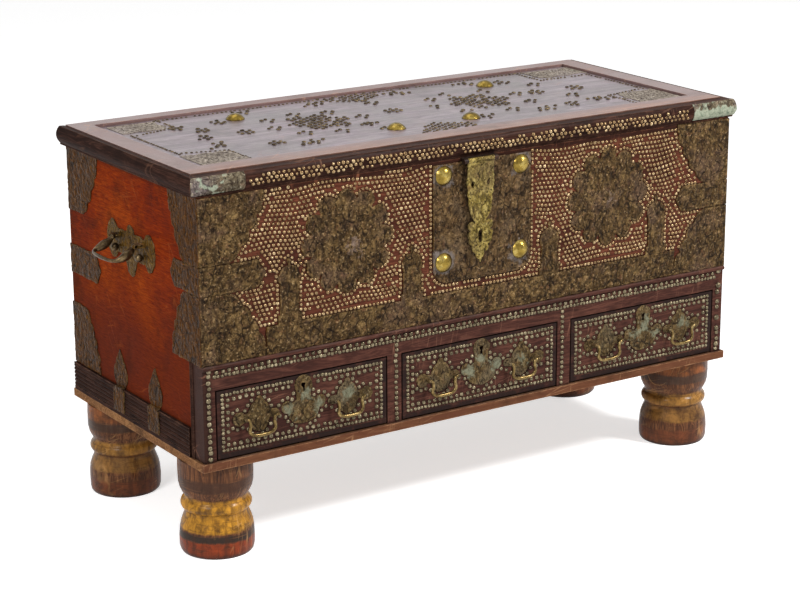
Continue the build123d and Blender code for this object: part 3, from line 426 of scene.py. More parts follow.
# Painted shade: a dark band along each drawer front's ends, bottom and top, standing in for the shadow in
# the gap round it.
def drawerShadeBorder(tree, place, width):
    low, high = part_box("middle_drawer_front")
    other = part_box("right_drawer_front")
    half = (high.x - low.x) / 2
    pitch = (other[0].x + other[1].x) / 2 - (low.x + high.x) / 2
    soft = 0.001
    beside = reckon(tree, "PINGPONG", unsigned(tree, axisOf(tree, place, "X")), pitch / 2)
    rise = axisOf(tree, place, "Z")
    ends = fade(tree, beside, half - width - soft, half - width + soft)
    bottom = fade(tree, rise, low.z + width + soft, low.z + width - soft)
    top = fade(tree, rise, high.z - width * 0.8 - soft, high.z - width * 0.8 + soft)
    worn = fade(tree, spread(tree, place, 30.0, 4, 0.7), 0.62, 0.5, 0.3, 0.9)
    rim = times(tree, larger(tree, ends, larger(tree, bottom, top)), worn)
    within = times(tree, fade(tree, beside, half + soft, half), fade(tree, rise, high.z + soft, high.z))
    return times(tree, rim, within)


def boardJoint(tree, place, height):
    wander = times(tree, spread(tree, place, 20.0, 2), 0.004)
    away = unsigned(tree, less(tree, plus(tree, axisOf(tree, place, "Z"), wander), height))
    broken = fade(tree, spread(tree, place, 9.0, 2), 0.5, 0.56)
    return times(tree, fade(tree, away, 0.0016, 0.0006), broken)


def makeWood(name, given):
    settings = {**woodDefaults, **given}
    material, tree, place = startFinish(name)
    grain = useGroup(tree, grainGroup, {
        "Place": place, "Stretch": settings["stretch"], "Scale": settings["scale"]})
    wear = useGroup(tree, wearGroup, {"Place": place})
    rub = useGroup(tree, rubGroup, {"Place": place, "Width": settings["rubWidth"]})
    dust = useGroup(tree, dustGroup, {"Place": place, "Reach": settings["dust"]})
    grime = useGroup(tree, cornerShadeGroup, {"Place": place, "Reach": settings["grime"]})
    low, middle, high = settings["tones"]
    stain, rubbed, figure = settings["stain"], settings["rub"], settings["figure"]
    share = plus(tree, times(tree, grain["Figure"], figure), times(tree, grain["Blotch"], 1.25 - figure))
    colour = ladder(tree, share, (0.3, low), (0.58, middle), (0.85, high))
    if "tint" in settings:
        axis, start, end, tint = settings["tint"]
        drift = times(tree, grain["Blotch"], settings["tintDrift"])
        tinted = fade(tree, plus(tree, axisOf(tree, place, axis), drift), start, end, 0.0, 0.8)
        colour = cover(tree, colour, (tinted, 1, tint))
    if "joint" in settings:
        colour = cover(tree, colour, (boardJoint(tree, place, settings["joint"]), 1, stain))
    # The last layer is painted shade: corners and gaps darkened to the stain tone.
    colour = cover(
        tree, colour,
        (fade(tree, grain["Fibre"], 0.58, 0.3, 0.0, settings["fibre"]), 1, low),
        (wear["Stain"], 0.6, stain),
        (wear["Scratch"], settings["scratch"], rubbed),
        (wear["Speck"], 0.7, stain),
        (rub["Edge"], 0.75, settings.get("edge", rubbed)),
        (dust["Dust"], 1, dustTone),
        (grime["Grime"], 1, stain))
    if "joint" in settings:  # painted shade on the boards' ends, which face the front
        colour = cover(tree, colour, (fade(tree, facingOf(tree, "Y"), -0.5, -0.9), 1, stain))
    if "lining" in settings:  # bare wood on the inside
        depth, bare = settings["lining"]
        inside = fade(tree, unsigned(tree, axisOf(tree, place, "X")), depth, depth - 0.002)
        plain = ladder(tree, grain["Figure"], (0.3, [part * 0.7 for part in bare]), (0.7, bare))
        colour = cover(tree, colour, (inside, 1, plain))
    # painted shade round the drawer fronts
    if "border" in settings:
        colour = cover(tree, colour, (drawerShadeBorder(tree, place, settings["border"]), 1, settings["edge"]))
    rough = fade(tree, grain["Blotch"], 0.3, 0.7, *settings["rough"])
    rough = plus(tree, rough, times(tree, wear["Scratch"], 0.15), clamp=True)
    height = less(tree, grain["Height"], times(tree, wear["Scratch"], 0.8))
    return endFinish(material, height, settings["bump"], {
        "Base Color": colour, "Roughness": rough, "IOR": settings["ior"],
        "Specular IOR Level": settings["specular"], "Coat Weight": settings["coat"],
        "Coat Roughness": settings["coatRough"]})


# crust: verdigris where it is thin and thick. sideways and the side shade: another tone and painted shade
# for faces that look left or right.
metalDefaults = {
    "green": 0.06, "rust": (112, 70, 50), "crust": ((172, 178, 162), (122, 138, 122)), "ior": 1.12,
    "rubWidth": 0.0012, "bump": (0.5, 0.0006), "chasedBump": (0.9, 0.0014),
}

metalSettings = {
    "sheet_brass": {
        "tones": ((44, 32, 20), (88, 67, 40), (146, 118, 76)), "grime": (22, 15, 10),
        "fleck": (190, 162, 118), "sideways": (106, 80, 36), "sidePaintedShade": (198, 160, 88),
        "crust": ((156, 134, 120), (112, 92, 82)), "dull": (98, 76, 60), "metal": 0.35,
        "rough": (0.34, 0.54), "scale": 55},
    "dark_brass": {
        "tones": ((46, 34, 22), (90, 68, 43), (142, 114, 76)), "grime": (24, 17, 12), "green": 0.12,
        "fleck": (162, 140, 108), "crust": ((132, 122, 116), (92, 84, 80)), "sideways": (100, 72, 24),
        "sidePaintedShade": (248, 236, 160), "dull": (104, 86, 66), "metal": 0.35, "rough": (0.34, 0.54),
        "scale": 55},
    "verdigris_brass": {
        "tones": ((62, 48, 30), (100, 80, 50), (142, 120, 80)), "grime": (32, 24, 17), "green": 0.3,
        "fleck": (164, 146, 110), "crust": ((134, 134, 112), (100, 100, 80)), "dull": (104, 92, 72),
        "metal": 0.35, "rough": (0.38, 0.6), "scale": 55},
    "cap_brass": {
        "tones": ((66, 56, 44), (108, 96, 76), (156, 144, 120)), "grime": (44, 34, 28), "green": 0.2,
        "fleck": (208, 200, 174), "crust": ((176, 182, 160), (128, 142, 122)), "dull": (128, 116, 116),
        "metal": 0.2, "rough": (0.45, 0.65), "scale": 60},
    "lace_brass": {
        "tones": ((116, 104, 92), (158, 146, 132), (196, 184, 170)), "grime": (62, 50, 42),
        "green": 0.12, "dull": (156, 144, 140), "rust": (132, 116, 104), "metal": 0.2,
        "rough": (0.4, 0.6), "scale": 55},
    "bright_brass": {
        "tones": ((96, 78, 32), (146, 122, 56), (198, 178, 108)), "grime": (60, 46, 22), "green": 0.04,
        "metal": 0.85, "rough": (0.2, 0.32), "scale": 50, "rim": 0.8},
    "hasp_brass": {
        "tones": ((92, 78, 34), (140, 120, 60), (202, 182, 114)), "grime": (36, 27, 15),
        "dull": (110, 92, 62), "metal": 0.45, "rough": (0.32, 0.48), "scale": 60},
    "handle_brass": {
        "tones": ((48, 38, 27), (88, 72, 50), (164, 140, 102)), "grime": (28, 21, 17), "metal": 0.75,
        "rough": (0.24, 0.4), "scale": 60},
    "bail_brass": {
        "tones": ((72, 58, 36), (118, 98, 60), (180, 156, 108)), "grime": (40, 30, 21), "metal": 0.8,
        "rough": (0.22, 0.38), "scale": 70},
    "iron": {
        "tones": ((34, 30, 28), (52, 44, 40), (74, 62, 54)), "grime": (72, 42, 26), "green": 0.0,
        "metal": 0.7, "rough": (0.45, 0.65), "scale": 50},
    "stud_gold": {
        "tones": ((100, 77, 52), (152, 124, 88), (212, 188, 148)), "grime": (54, 39, 26),
        "green": 0.04, "metal": 0.6, "rough": (0.18, 0.32), "scale": 60, "rim": 0.6},
    "stud_grey": {
        "tones": ((80, 72, 56), (126, 114, 90), (182, 168, 138)), "grime": (42, 34, 26), "green": 0.12,
        "metal": 0.5, "rough": (0.2, 0.36), "scale": 60, "rim": 0.6},
    "stud_dark": {
        "tones": ((58, 48, 35), (92, 77, 56), (148, 128, 94)), "grime": (30, 23, 18), "metal": 0.5,
        "rough": (0.24, 0.38), "scale": 60, "rim": 0.6},
}
piercedTone = (22, 14, 11)  # the dark seen through the holes, painted as shade since the holes are only dents


def chaseColour(tree, place, colour, punch, settings):
    grime, high = settings["grime"], settings["tones"][2]
    relief = painted(tree, "relief")
    dull = spread(tree, place, 14.0, 4, 0.6, 0.5)
    rust = spread(tree, place, 95.0, 3, 0.7)
    colour = cover(tree, colour, (fade(tree, dull, 0.5, 0.66, 0.0, 0.75), 1, settings["dull"]))
    if "sideways" in settings:
        across = fade(tree, unsigned(tree, facingOf(tree, "X")), 0.5, 0.9)
        colour = cover(tree, colour, (across, 0.55, settings["sideways"]))
    colour = cover(
        tree, colour,
        (fade(tree, rust, 0.56, 0.66, 0.0, 0.4), 1, settings["rust"]),
        (punch["Fleck"], 0.8, settings.get("fleck", high)),
        (fade(tree, relief, 0.62, 0.95, 0.0, 0.4), 1, high),
        (fade(tree, relief, 0.42, 0.15, 0.0, 0.7), 1, grime),
        (punch["Hollow"], 0.9, grime),
        (fade(tree, relief, 0.06, 0.0), 1, piercedTone))
    # painted shade: faces that look left or right are multiplied darker
    if "sidePaintedShade" in settings:
        colour = cover(tree, colour, (across, 1, settings["sidePaintedShade"]), how="MULTIPLY")
    return colour


def makeMetal(name, given, chased=False):
    settings = {**metalDefaults, **given}
    material, tree, place = startFinish(name)
    (low, middle, high), grime, green = settings["tones"], settings["grime"], settings["green"]
    if chased:
        green = plus(tree, painted(tree, "green"), green)
    tarnish = useGroup(tree, tarnishGroup, {"Place": place, "Scale": settings["scale"], "Green": green})
    rub = useGroup(tree, rubGroup, {"Place": place, "Width": settings["rubWidth"]})
    colour = ladder(tree, tarnish["Cloud"], (0.32, low), (0.52, middle), (0.72, high))
    colour = cover(tree, colour, (tarnish["Grime"], 0.55, grime))
    height, bump = tarnish["Height"], settings["bump"]
    if chased:
        punch = useGroup(tree, punchGroup, {"Place": place})
        height, bump = plus(tree, times(tree, height, 0.3), punch["Height"]), settings["chasedBump"]
        colour = chaseColour(tree, place, colour, punch, settings)
    pale, deep = settings["crust"]
    crust = blendTones(tree, tarnish["Grime"], tone(*pale), tone(*deep))
    colour = cover(
        tree, colour,
        (rub["Edge"], 0.6, high),
        (tarnish["Pit"], 0.6, grime),
        (tarnish["Bloom"], 0.85, crust))
    if "rim" in settings:  # painted shade: round heads darken towards their outline
        facing = put(tree, "LayerWeight", {"Blend": 0.5}).outputs["Facing"]
        colour = cover(tree, colour, (fade(tree, facing, 0.35, 0.85, 0.0, settings["rim"]), 1, grime))
    rough = fade(tree, tarnish["Cloud"], 0.35, 0.7, *settings["rough"])
    return endFinish(material, height, bump, {
        "Base Color": colour, "IOR": settings["ior"],
        "Metallic": times(tree, less(tree, 1.0, tarnish["Bloom"]), settings["metal"]),
        "Roughness": plus(tree, rough, times(tree, tarnish["Bloom"], 0.3), clamp=True)})


footSettings = {
    "ground": ((68, 40, 25), (106, 66, 41), (148, 98, 60)),
    "streak": (62, 36, 24), "stain": (60, 36, 25), "rub": (206, 156, 98), "grime": (48, 30, 22),
    "red": (132, 56, 28), "rust": (108, 60, 36), "ochre": (184, 130, 44), "dull": (130, 92, 48),
    "gold": (152, 108, 50), "band": (50, 38, 31), "smoke": (72, 52, 40), "shade": (74, 48, 34),
    "amber": (130, 76, 40), "rough": (0.26, 0.5), "ior": 1.14, "coat": 0.16, "coatRough": 0.2,
    "bump": (0.6, 0.0014),
    "front_left": (  # lacquer bands: bottom, top, which colour
        (-0.005, 0.028, "red"), (0.028, 0.04, "band"), (0.044, 0.099, "ochre"), (0.114, 0.134, "shade")),
    "others": (
        (-0.005, 0.03, "rust"), (0.046, 0.072, "dull"), (0.076, 0.098, "gold"), (0.12, 0.136, "smoke"),
        (0.138, 0.165, "amber")),
}


def makeFootFinish(name, settings, bands):
    material, tree, place = startFinish(name)
    grain = useGroup(tree, grainGroup, {"Place": place, "Stretch": alongZ, "Scale": 7.0})
    wear = useGroup(tree, wearGroup, {"Place": place})
    # Painted shade: ambient occlusion darkens the hollows of the turnings.
    grime = useGroup(tree, cornerShadeGroup, {"Place": place, "Reach": 0.012})
    lathe = spread(tree, stretched(tree, place, (1, 1, 26)), 14.0, 4, 0.65)
    streak = spread(tree, stretched(tree, place, (1, 1, 0.1)), 130.0, 3, 0.6)
    mottle = spread(tree, place, 55.0, 5, 0.7, 0.6)
    low, middle, high = settings["ground"]
    colour = ladder(tree, grain["Figure"], (0.3, low), (0.55, middle), (0.85, high))
    wander = times(tree, less(tree, spread(tree, place, 36.0, 4, 0.7), 0.5), 0.011)
    rise = plus(tree, axisOf(tree, place, "Z"), wander)
    worn = fade(tree, mottle, 0.36, 0.5, 0.75, 1.0)
    soft = 0.002
    for bottom, top, which in bands:
        above = fade(tree, rise, bottom - soft, bottom + soft)
        below = fade(tree, rise, top + soft, top - soft)
        lacquer = settings[which]
        darker, lighter = [part * 0.72 for part in lacquer], [min(255, part * 1.15) for part in lacquer]
        shade = ladder(tree, mottle, (0.36, darker), (0.5, lacquer), (0.66, lighter))
        colour = cover(tree, colour, (times(tree, times(tree, above, below), worn), 1, shade))
    colour = cover(
        tree, colour,
        (fade(tree, streak, 0.52, 0.36, 0.0, 0.55), 1, settings["streak"]),
        (fade(tree, lathe, 0.56, 0.7, 0.0, 0.6), 1, low),
        (fade(tree, lathe, 0.4, 0.28, 0.0, 0.35), 1, high),
        (wear["Stain"], 0.5, settings["stain"]),
        (wear["Scratch"], 0.5, settings["rub"]),
        (grime["Grime"], 1, settings["grime"]))
    height = plus(tree, times(tree, lathe, 0.7), times(tree, streak, 0.5))
    height = plus(tree, height, times(tree, mottle, 0.6))
    return endFinish(material, height, settings["bump"], {
        "Base Color": colour, "Roughness": fade(tree, mottle, 0.35, 0.65, *settings["rough"]),
        "IOR": settings["ior"], "Coat Weight": settings["coat"], "Coat Roughness": settings["coatRough"]})


chasedNames = ("sheet_brass", "dark_brass", "verdigris_brass", "cap_brass", "lace_brass", "hasp_brass")
finishes = {name: makeWood(name, settings) for name, settings in woodSettings.items()}
finishes.update({name: makeMetal(name, settings) for name, settings in metalSettings.items()})
finishes["foot_wood"] = makeFootFinish("foot_wood", footSettings, footSettings["others"])
finishes["foot_ochre"] = makeFootFinish("foot_ochre", footSettings, footSettings["front_left"])
chased = {name: makeMetal(name + "_chased", metalSettings[name], True) for name in chasedNames}
for node in nodes.values():
    for part in node.material_slots:
        part.material = finishes[part.material.name.split(".")[0]]
nodes["lid_side_and_back_mouldings"].material_slots[0].material = finishes["side_wood"]
print("finishes ready:", len(finishes))


def pickNothing():
    if bpy.context.object and bpy.context.object.mode != "OBJECT":
        bpy.ops.object.mode_set(mode="OBJECT")
    bpy.ops.object.select_all(action="DESELECT")


def newPiece(name, mesh):
    piece = bpy.data.objects.new(name, mesh)
    bpy.context.scene.collection.objects.link(piece)
    return piece


def settlePiece(piece, name, body, material):
    piece.name = name
    piece.data.materials.clear()
    piece.data.materials.append(material)
    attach(piece, body)
    return piece


def makeStudShape(radius, height, sides=8):
    pickNothing()
    bpy.ops.mesh.primitive_uv_sphere_add(segments=sides, ring_count=6, radius=radius)
    stud = bpy.context.object
    bpy.ops.object.mode_set(mode="EDIT")
    bpy.ops.mesh.select_all(action="SELECT")
    bpy.ops.mesh.bisect(plane_co=(0, 0, 0), plane_no=(0, 0, 1), clear_inner=True)
    bpy.ops.mesh.select_all(action="SELECT")
    bpy.ops.transform.resize(value=(1, 1, height / radius))
    bpy.ops.object.mode_set(mode="OBJECT")
    shape = ([v.co.copy() for v in stud.data.vertices], [tuple(f.vertices) for f in stud.data.polygons])
    bpy.data.objects.remove(stud)
    return shape


def layStuds(name, shape, places, body, material):
    points, faces = [], []
    for spot, facing, size in places:
        tilt = Vector([dice.uniform(-0.05, 0.05) for _ in range(3)])
        turn = (facing + tilt).to_track_quat("Z", "Y").to_matrix()
        turn = turn @ Matrix.Rotation(dice.uniform(0, 6.28), 3, "Z")
        start = len(points)
        points += [spot + turn @ (corner * size) for corner in shape[0]]
        faces += [[start + i for i in face] for face in shape[1]]
    mesh = bpy.data.meshes.new(name)
    mesh.from_pydata(points, [], faces)
    mesh.polygons.foreach_set("use_smooth", [True] * len(faces))
    return settlePiece(newPiece(name, mesh), name, body, material)


def surfaceTree(names):
    points, faces = [], []
    for name in names:
        mesh = nodes[name].data
        start = len(points)
        points += [v.co.copy() for v in mesh.vertices]
        faces += [[start + i for i in f.vertices] for f in mesh.polygons]
    return BVHTree.FromPolygons(points, faces)


front, above = Vector((0, -1, 0)), Vector((0, 0, 1))
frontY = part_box("front_panel")[0].y
studY = frontY + 0.3 * mm  # studs stand a little in the wood


def inOrder(items):  # a set's order differs from run to run
    return list(dict.fromkeys(items))


def openSheet(name):
    mesh = nodes[name].data.copy()
    work = bmesh.new()
    work.from_mesh(mesh)
    bmesh.ops.remove_doubles(work, verts=work.verts, dist=1e-6)
    bmesh.ops.dissolve_limit(work, angle_limit=0.005, verts=work.verts, edges=work.edges)
    layers = [work.verts.layers.float.new(layer) for layer in ("relief", "green")]
    return newPiece(name + "_chased", mesh), work, *layers


def closeSheet(name, piece, work, material, sharp):
    work.to_mesh(piece.data)
    work.free()
    piece.data.polygons.foreach_set("use_smooth", [True] * len(piece.data.polygons))
    piece.data.set_sharp_from_angle(angle=math.radians(sharp))
    settlePiece(piece, name + "_chased", nodes[name]["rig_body"], material)
    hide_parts(name)
    print("chased", name, len(piece.data.polygons))


def rimOf(faces, edges, pitch):  # points along the outline, to measure distances from
    chosen = set(faces)
    points = []
    for e in edges:
        if any(other not in chosen for other in e.link_faces):
            a, b = e.verts[0].co, e.verts[1].co
            parts = max(1, int((b - a).length / (pitch * mm)))
            points += [a.lerp(b, i / parts) for i in range(parts + 1)]
    rim = kdtree.KDTree(len(points))
    for index, point in enumerate(points):
        rim.insert(point, index)
    rim.balance()
    return rim


def cutGrid(work, faces, edges, axes, step):
    geom = faces + edges + inOrder(v for f in faces for v in f.verts)
    spots = [v.co.copy() for f in faces for v in f.verts]
    for axis in axes:
        low, high = min(p.dot(axis) for p in spots), max(p.dot(axis) for p in spots)
        count = int((high - low) / step)
        for i in range(1, count):
            cut = low + i * (high - low) / count
            geom = bmesh.ops.bisect_plane(
                work, geom=geom, plane_co=axis * cut, plane_no=axis, dist=1e-7)["geom"]
    return inOrder(v for g in geom if isinstance(g, bmesh.types.BMFace) for v in g.verts)


def rimBead(distance):
    bead = max(0.0, 1 - abs(distance - 2.6) / 1.5)
    groove = max(0.0, 1 - abs(distance - 5.2) / 1.6)
    return bead, groove


def leafWork(u, w, distance, settings):
    wide, tall = settings["cell"]
    if settings["mirror"] is not None:
        u = abs(abs(u) - settings["mirror"])
    spot = Vector((u / wide, w / tall, settings["seed"]))
    spot += noise.noise_vector(spot * 0.55) * 0.75
    gaps = noise.voronoi(spot)[0]
    leaf = min(1.0, (gaps[1] - gaps[0]) * 2.4)
    vein = abs(noise.noise(spot * 2.3)) * 0.5
    value = 0.22 + 0.62 * leaf - 0.25 * vein
    bead, groove = rimBead(distance)
    if distance < 7:
        value = max(value * (1 - 0.55 * groove), 0.8 * bead)
    hole = noise.voronoi(Vector((u / 11.0, w / 11.0, 3.3)))[0][0]
    return 0.0 if hole < settings["holes"] and distance > 6 else value


# cell: a leaf's width and height. depth: of the relief. ragged: how far the outline wanders. All in mm.
sheetDefaults = {
    "slot": "sheet_brass", "depth": 1.3, "rest": 0.35, "step": 2.0, "rimPitch": 0.8, "ragged": 1.7,
    "raggedReach": 5.0, "wrap": 538, "holes": 0.17, "seed": 0, "mirror": None, "green": (),
}
medallionX, lockBossX = 268, 79
frontFace = [((0, -1, 0), None)]
endFaces = [((-1, 0, 0), None), ((1, 0, 0), None)]
sheetSettings = {
    "upper_corner_plates": {"faces": frontFace + endFaces, "cell": (9, 13)},
    "middle_corner_plates": {"faces": frontFace + endFaces, "cell": (11, 9)},
    "lower_corner_plates": {"faces": frontFace + endFaces, "cell": (9, 13), "seed": 2},
    "back_corner_plates": {"faces": endFaces, "cell": (10, 12), "seed": 4},
    "bottom_band": {"faces": frontFace, "cell": (13, 11), "holes": 0.1, "step": 2.2},
    "medallions": {"faces": frontFace, "cell": (8, 17), "mirror": medallionX, "ragged": 4.2},
    "minaret_plates": {"faces": frontFace, "cell": (7, 20), "holes": 0.08},
    "spear_plates": {"faces": endFaces, "cell": (8, 16), "holes": 0.1},
    "lock_plate": {
        "faces": frontFace, "cell": (12, 14), "slot": "dark_brass", "mirror": 0.0, "ragged": 1.2},
    "side_handle_plates": {"faces": endFaces, "cell": (14, 12), "slot": "dark_brass", "holes": 0.0},
}
medallionZ = sum(end.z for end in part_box("medallions")) / 2 / mm
lockZ = [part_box("lock_plate")[0].z / mm + 37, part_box("lock_plate")[1].z / mm - 19]
sheetSettings["medallions"]["green"] = [  # place, radius and strength of each patch
    ((side * medallionX + 8, frontY / mm, medallionZ - 10), 56, 0.55) for side in (-1, 1)]
sheetSettings["lock_plate"]["green"] = [
    ((side * lockBossX, frontY / mm, z), 42, 0.9) for side in (-1, 1) for z in lockZ]
for side in ("left", "middle", "right"):
    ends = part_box(side + "_drawer_plates")
    x = (ends[0].x + ends[1].x) / 2 / mm
    sheetSettings[side + "_drawer_plates"] = {
        "faces": [((0, -1, 0), 1.5 * mm - frontY)], "cell": (5, 13), "slot": "verdigris_brass",
        "holes": 0.06, "step": 1.7, "depth": 1.0, "green": [
            ((x + along, frontY / mm, z), 26, 0.5)
            for along, z in ((4, 254), (-26, 240), (30, 238), (88, 244))]}
sheetSettings["hasp"] = {
    "faces": frontFace, "cell": (8, 11), "slot": "hasp_brass", "step": 1.7, "holes": 0.1}


def chaseSheet(name, given):
    settings = {**sheetDefaults, **given}
    piece, work, relief, green = openSheet(name)
    step = settings["step"] * mm * 1.0
    moved = []
    for facing, level in settings["faces"]:
        out = Vector(facing)
        across = Vector((1, 0, 0)) if abs(out.x) < 0.5 else Vector((0, 1, 0))
        faces = [f for f in work.faces if f.normal.dot(out) > 0.999
                 and (level is None or abs(f.calc_center_median().dot(out) - level) < 2e-4)]
        edges = inOrder(e for f in faces for e in f.edges)
        rim = rimOf(faces, edges, settings["rimPitch"])
        for v in cutGrid(work, faces, edges, (across, above), step):
            moved.append((v, out, rim.find(v.co)[2], v.co.dot(across) / mm, v.co.z / mm))
    for v in work.verts:
        v[relief] = 0.5
    for v, out, distance, u, w in moved:
        v[relief] = value = leafWork(u, w, distance / mm, settings)
        ragged = max(0.0, 1 - distance / (settings["raggedReach"] * mm)) * settings["ragged"] * mm
        drift = noise.noise_vector(v.co / mm / 6.0) + noise.noise_vector(v.co / mm / 14.0)
        if abs(v.co.x) > settings["wrap"] * mm:  # where a sheet folds round the corner, it stays put
            drift.x = 0
            if v.co.y < frontY + 4 * mm:
                ragged = 0
        if ragged:
            v.co += (drift - out * drift.dot(out)) * ragged
        if distance > 0.3 * mm:
            v.co += out * (value - settings["rest"]) * settings["depth"] * mm
    for v in work.verts:
        patches = [strength * (1 - (v.co / mm - Vector(spot)).length / radius)
                   for spot, radius, strength in settings["green"]]
        v[green] = max([0.0] + patches)
    closeSheet(name, piece, work, chased[settings["slot"]], 50)


# Sizes in mm. gap: between studs and sheets. The rows are bent by drift over driftSize.
frontStudSettings = {
    "radius": 3.2, "height": 2.6, "across": 8.2, "up": 7.3, "gap": 4.2, "apart": 6.3,
    "drift": 8.0, "driftSize": 75.0, "missing": 0.03, "lowest": 388, "firstRow": 378, "trace": 1.5,
    "slack": 0.8, "reach": 30, "margin": (5, 4),
}


class Spacing:
    def __init__(self, apart):
        self.apart = apart
        self.cells = {}

    def takes(self, x, z):
        home = int(x // self.apart), int(z // self.apart)
        for i in (-1, 0, 1):
            for j in (-1, 0, 1):
                for a, b in self.cells.get((home[0] + i, home[1] + j), ()):
                    if math.hypot(a - x, b - z) < self.apart:
                        return False
        self.cells.setdefault(home, []).append((x, z))
        return True


def studFront(settings):
    shape = makeStudShape(settings["radius"] * mm, settings["height"] * mm)
    plates = surfaceTree([
        "upper_corner_plates", "middle_corner_plates", "lower_corner_plates", "medallions",
        "minaret_plates", "lock_plate", "bottom_band"])
    low, high = (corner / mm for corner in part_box("front_panel"))
    wide, tall = high.x - low.x, high.z - low.z
    room = Spacing(settings["apart"])
    beside, below = settings["margin"]
    reach = settings["reach"] * mm
    places = []

    def gapTo(x, z):
        return (plates.find_nearest(Vector((x * mm, studY, z * mm)), reach)[3] or reach) / mm

    def place(x, z):
        if low.x + beside < x < high.x - beside and z < high.z - below and room.takes(x, z):
            if dice.random() > settings["missing"]:
                places.append((Vector((x * mm, studY, z * mm)), front, dice.uniform(0.88, 1.08)))

    step = settings["trace"]
    for i in range(int(wide / step)):  # first a row round every sheet
        for j in range(int(tall / step)):
            x, z = low.x + i * step, low.z + j * step
            if z > settings["lowest"] and abs(gapTo(x, z) - settings["gap"]) < settings["slack"]:
                place(x, z)
    for j in range(int((high.z - settings["firstRow"]) / settings["up"]) + 4):  # then the field
        for i in range(int(wide / settings["across"])):
            x = low.x + (i + 0.5 * (j % 2)) * settings["across"]
            z = settings["firstRow"] + j * settings["up"]
            bend = noise.noise_vector(Vector((x, z, 70)) / settings["driftSize"]) * settings["drift"]
            x, z = x + bend.x, z + bend.y
            if z > settings["lowest"] and gapTo(x, z) > settings["gap"]:
                place(x, z)
    layStuds("front_studs", shape, places, "carcass", finishes["stud_gold"])
    print("front studs:", len(places))


def rowOfStuds(start, end, pitch, facing, wobble, sizes):
    start, end = Vector(start), Vector(end)
    count = max(2, round((end - start).length / (pitch * mm)) + 1)
    row = []
    for i in range(count):
        spot = start.lerp(end, i / (count - 1))
        spot += Vector((dice.gauss(0, wobble), 0, dice.gauss(0, wobble))) * mm
        row.append((spot, Vector(facing), dice.uniform(*sizes)))
    return row


# stud: radius and height. dense and loose: rise over the rail's foot, half length, pitch. All in mm.
railSettings = {
    "small": (3.3, 2.5), "large": (4.9, 3.4), "dense": (23.5, 519, 7.1), "loose": (30.5, 515, 12.0),
    "stileX": 529, "stilePitch": 10.0, "stileLost": 0.3, "muntinX": 173.5, "muntinPitch": 9.6,
}


def studFrame(settings):
    small, large = (makeStudShape(*(part * mm for part in settings[key])) for key in ("small", "large"))
    rail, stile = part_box("drawer_rail"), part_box("corner_stiles")
    foot = stile[0].z + 6 * mm
    grey = finishes["stud_grey"]
    rows = []
    for key, sizes in (("dense", (0.9, 1.1)), ("loose", (1.05, 1.25))):
        rise, half, pitch = settings[key]
        z = rail[0].z + rise * mm
        rows += rowOfStuds((-half * mm, studY, z), (half * mm, studY, z), pitch, front, 0.35, sizes)
    layStuds("rail_studs", small, rows, "carcass", grey)
    columns = []
    for x in (-settings["stileX"] * mm, settings["stileX"] * mm):
        columns += rowOfStuds((x, studY, foot), (x, studY, stile[1].z - 8 * mm),
                              settings["stilePitch"], front, 0.7, (0.8, 1.12))
    columns = [stud for stud in columns if stud[0].x < 0 or dice.random() > settings["stileLost"]]
    layStuds("stile_studs", large, columns, "carcass", grey)
    columns = []
    for x in (-settings["muntinX"] * mm, settings["muntinX"] * mm):
        columns += rowOfStuds((x, studY, foot), (x, studY, rail[0].z + 16 * mm),
                              settings["muntinPitch"], front, 0.5, (1.05, 1.25))
    layStuds("muntin_studs", small, columns, "carcass", grey)


lidEdgeSettings = {
    "radius": 3.1, "height": 2.2, "half": 0.446, "pitch": 9.2, "middle": 0.52,
    "rows": ((0, 0, 0.03), (6.2, 4.6, 0.16), (-6.2, 4.6, 0.16)),  # rise, shift, share lost
}


def studLidEdge(settings):
    shape = makeStudShape(settings["radius"] * mm, settings["height"] * mm)
    nose = surfaceTree(["lid_front_moulding"])
    low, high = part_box("lid_front_moulding")
    middle = low.z + settings["middle"] * (high.z - low.z)
    places = []
    for rise, shift, lost in settings["rows"]:
        x = shift * mm - settings["half"]
        while x < settings["half"]:
            start = Vector((x, low.y - 0.05, middle + rise * mm))
            spot, facing = nose.ray_cast(start, Vector((0, 1, 0)))[:2]
            if spot and dice.random() > lost:
                jog = Vector((dice.gauss(0, 0.5), 0, dice.gauss(0, 0.35))) * mm
                places.append((spot + jog + facing * -0.2 * mm, facing, dice.uniform(0.85, 1.18)))
            x += settings["pitch"] * mm
    layStuds("lid_edge_studs", shape, places, "lid", finishes["stud_gold"])


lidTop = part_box("lid_board")[1].z

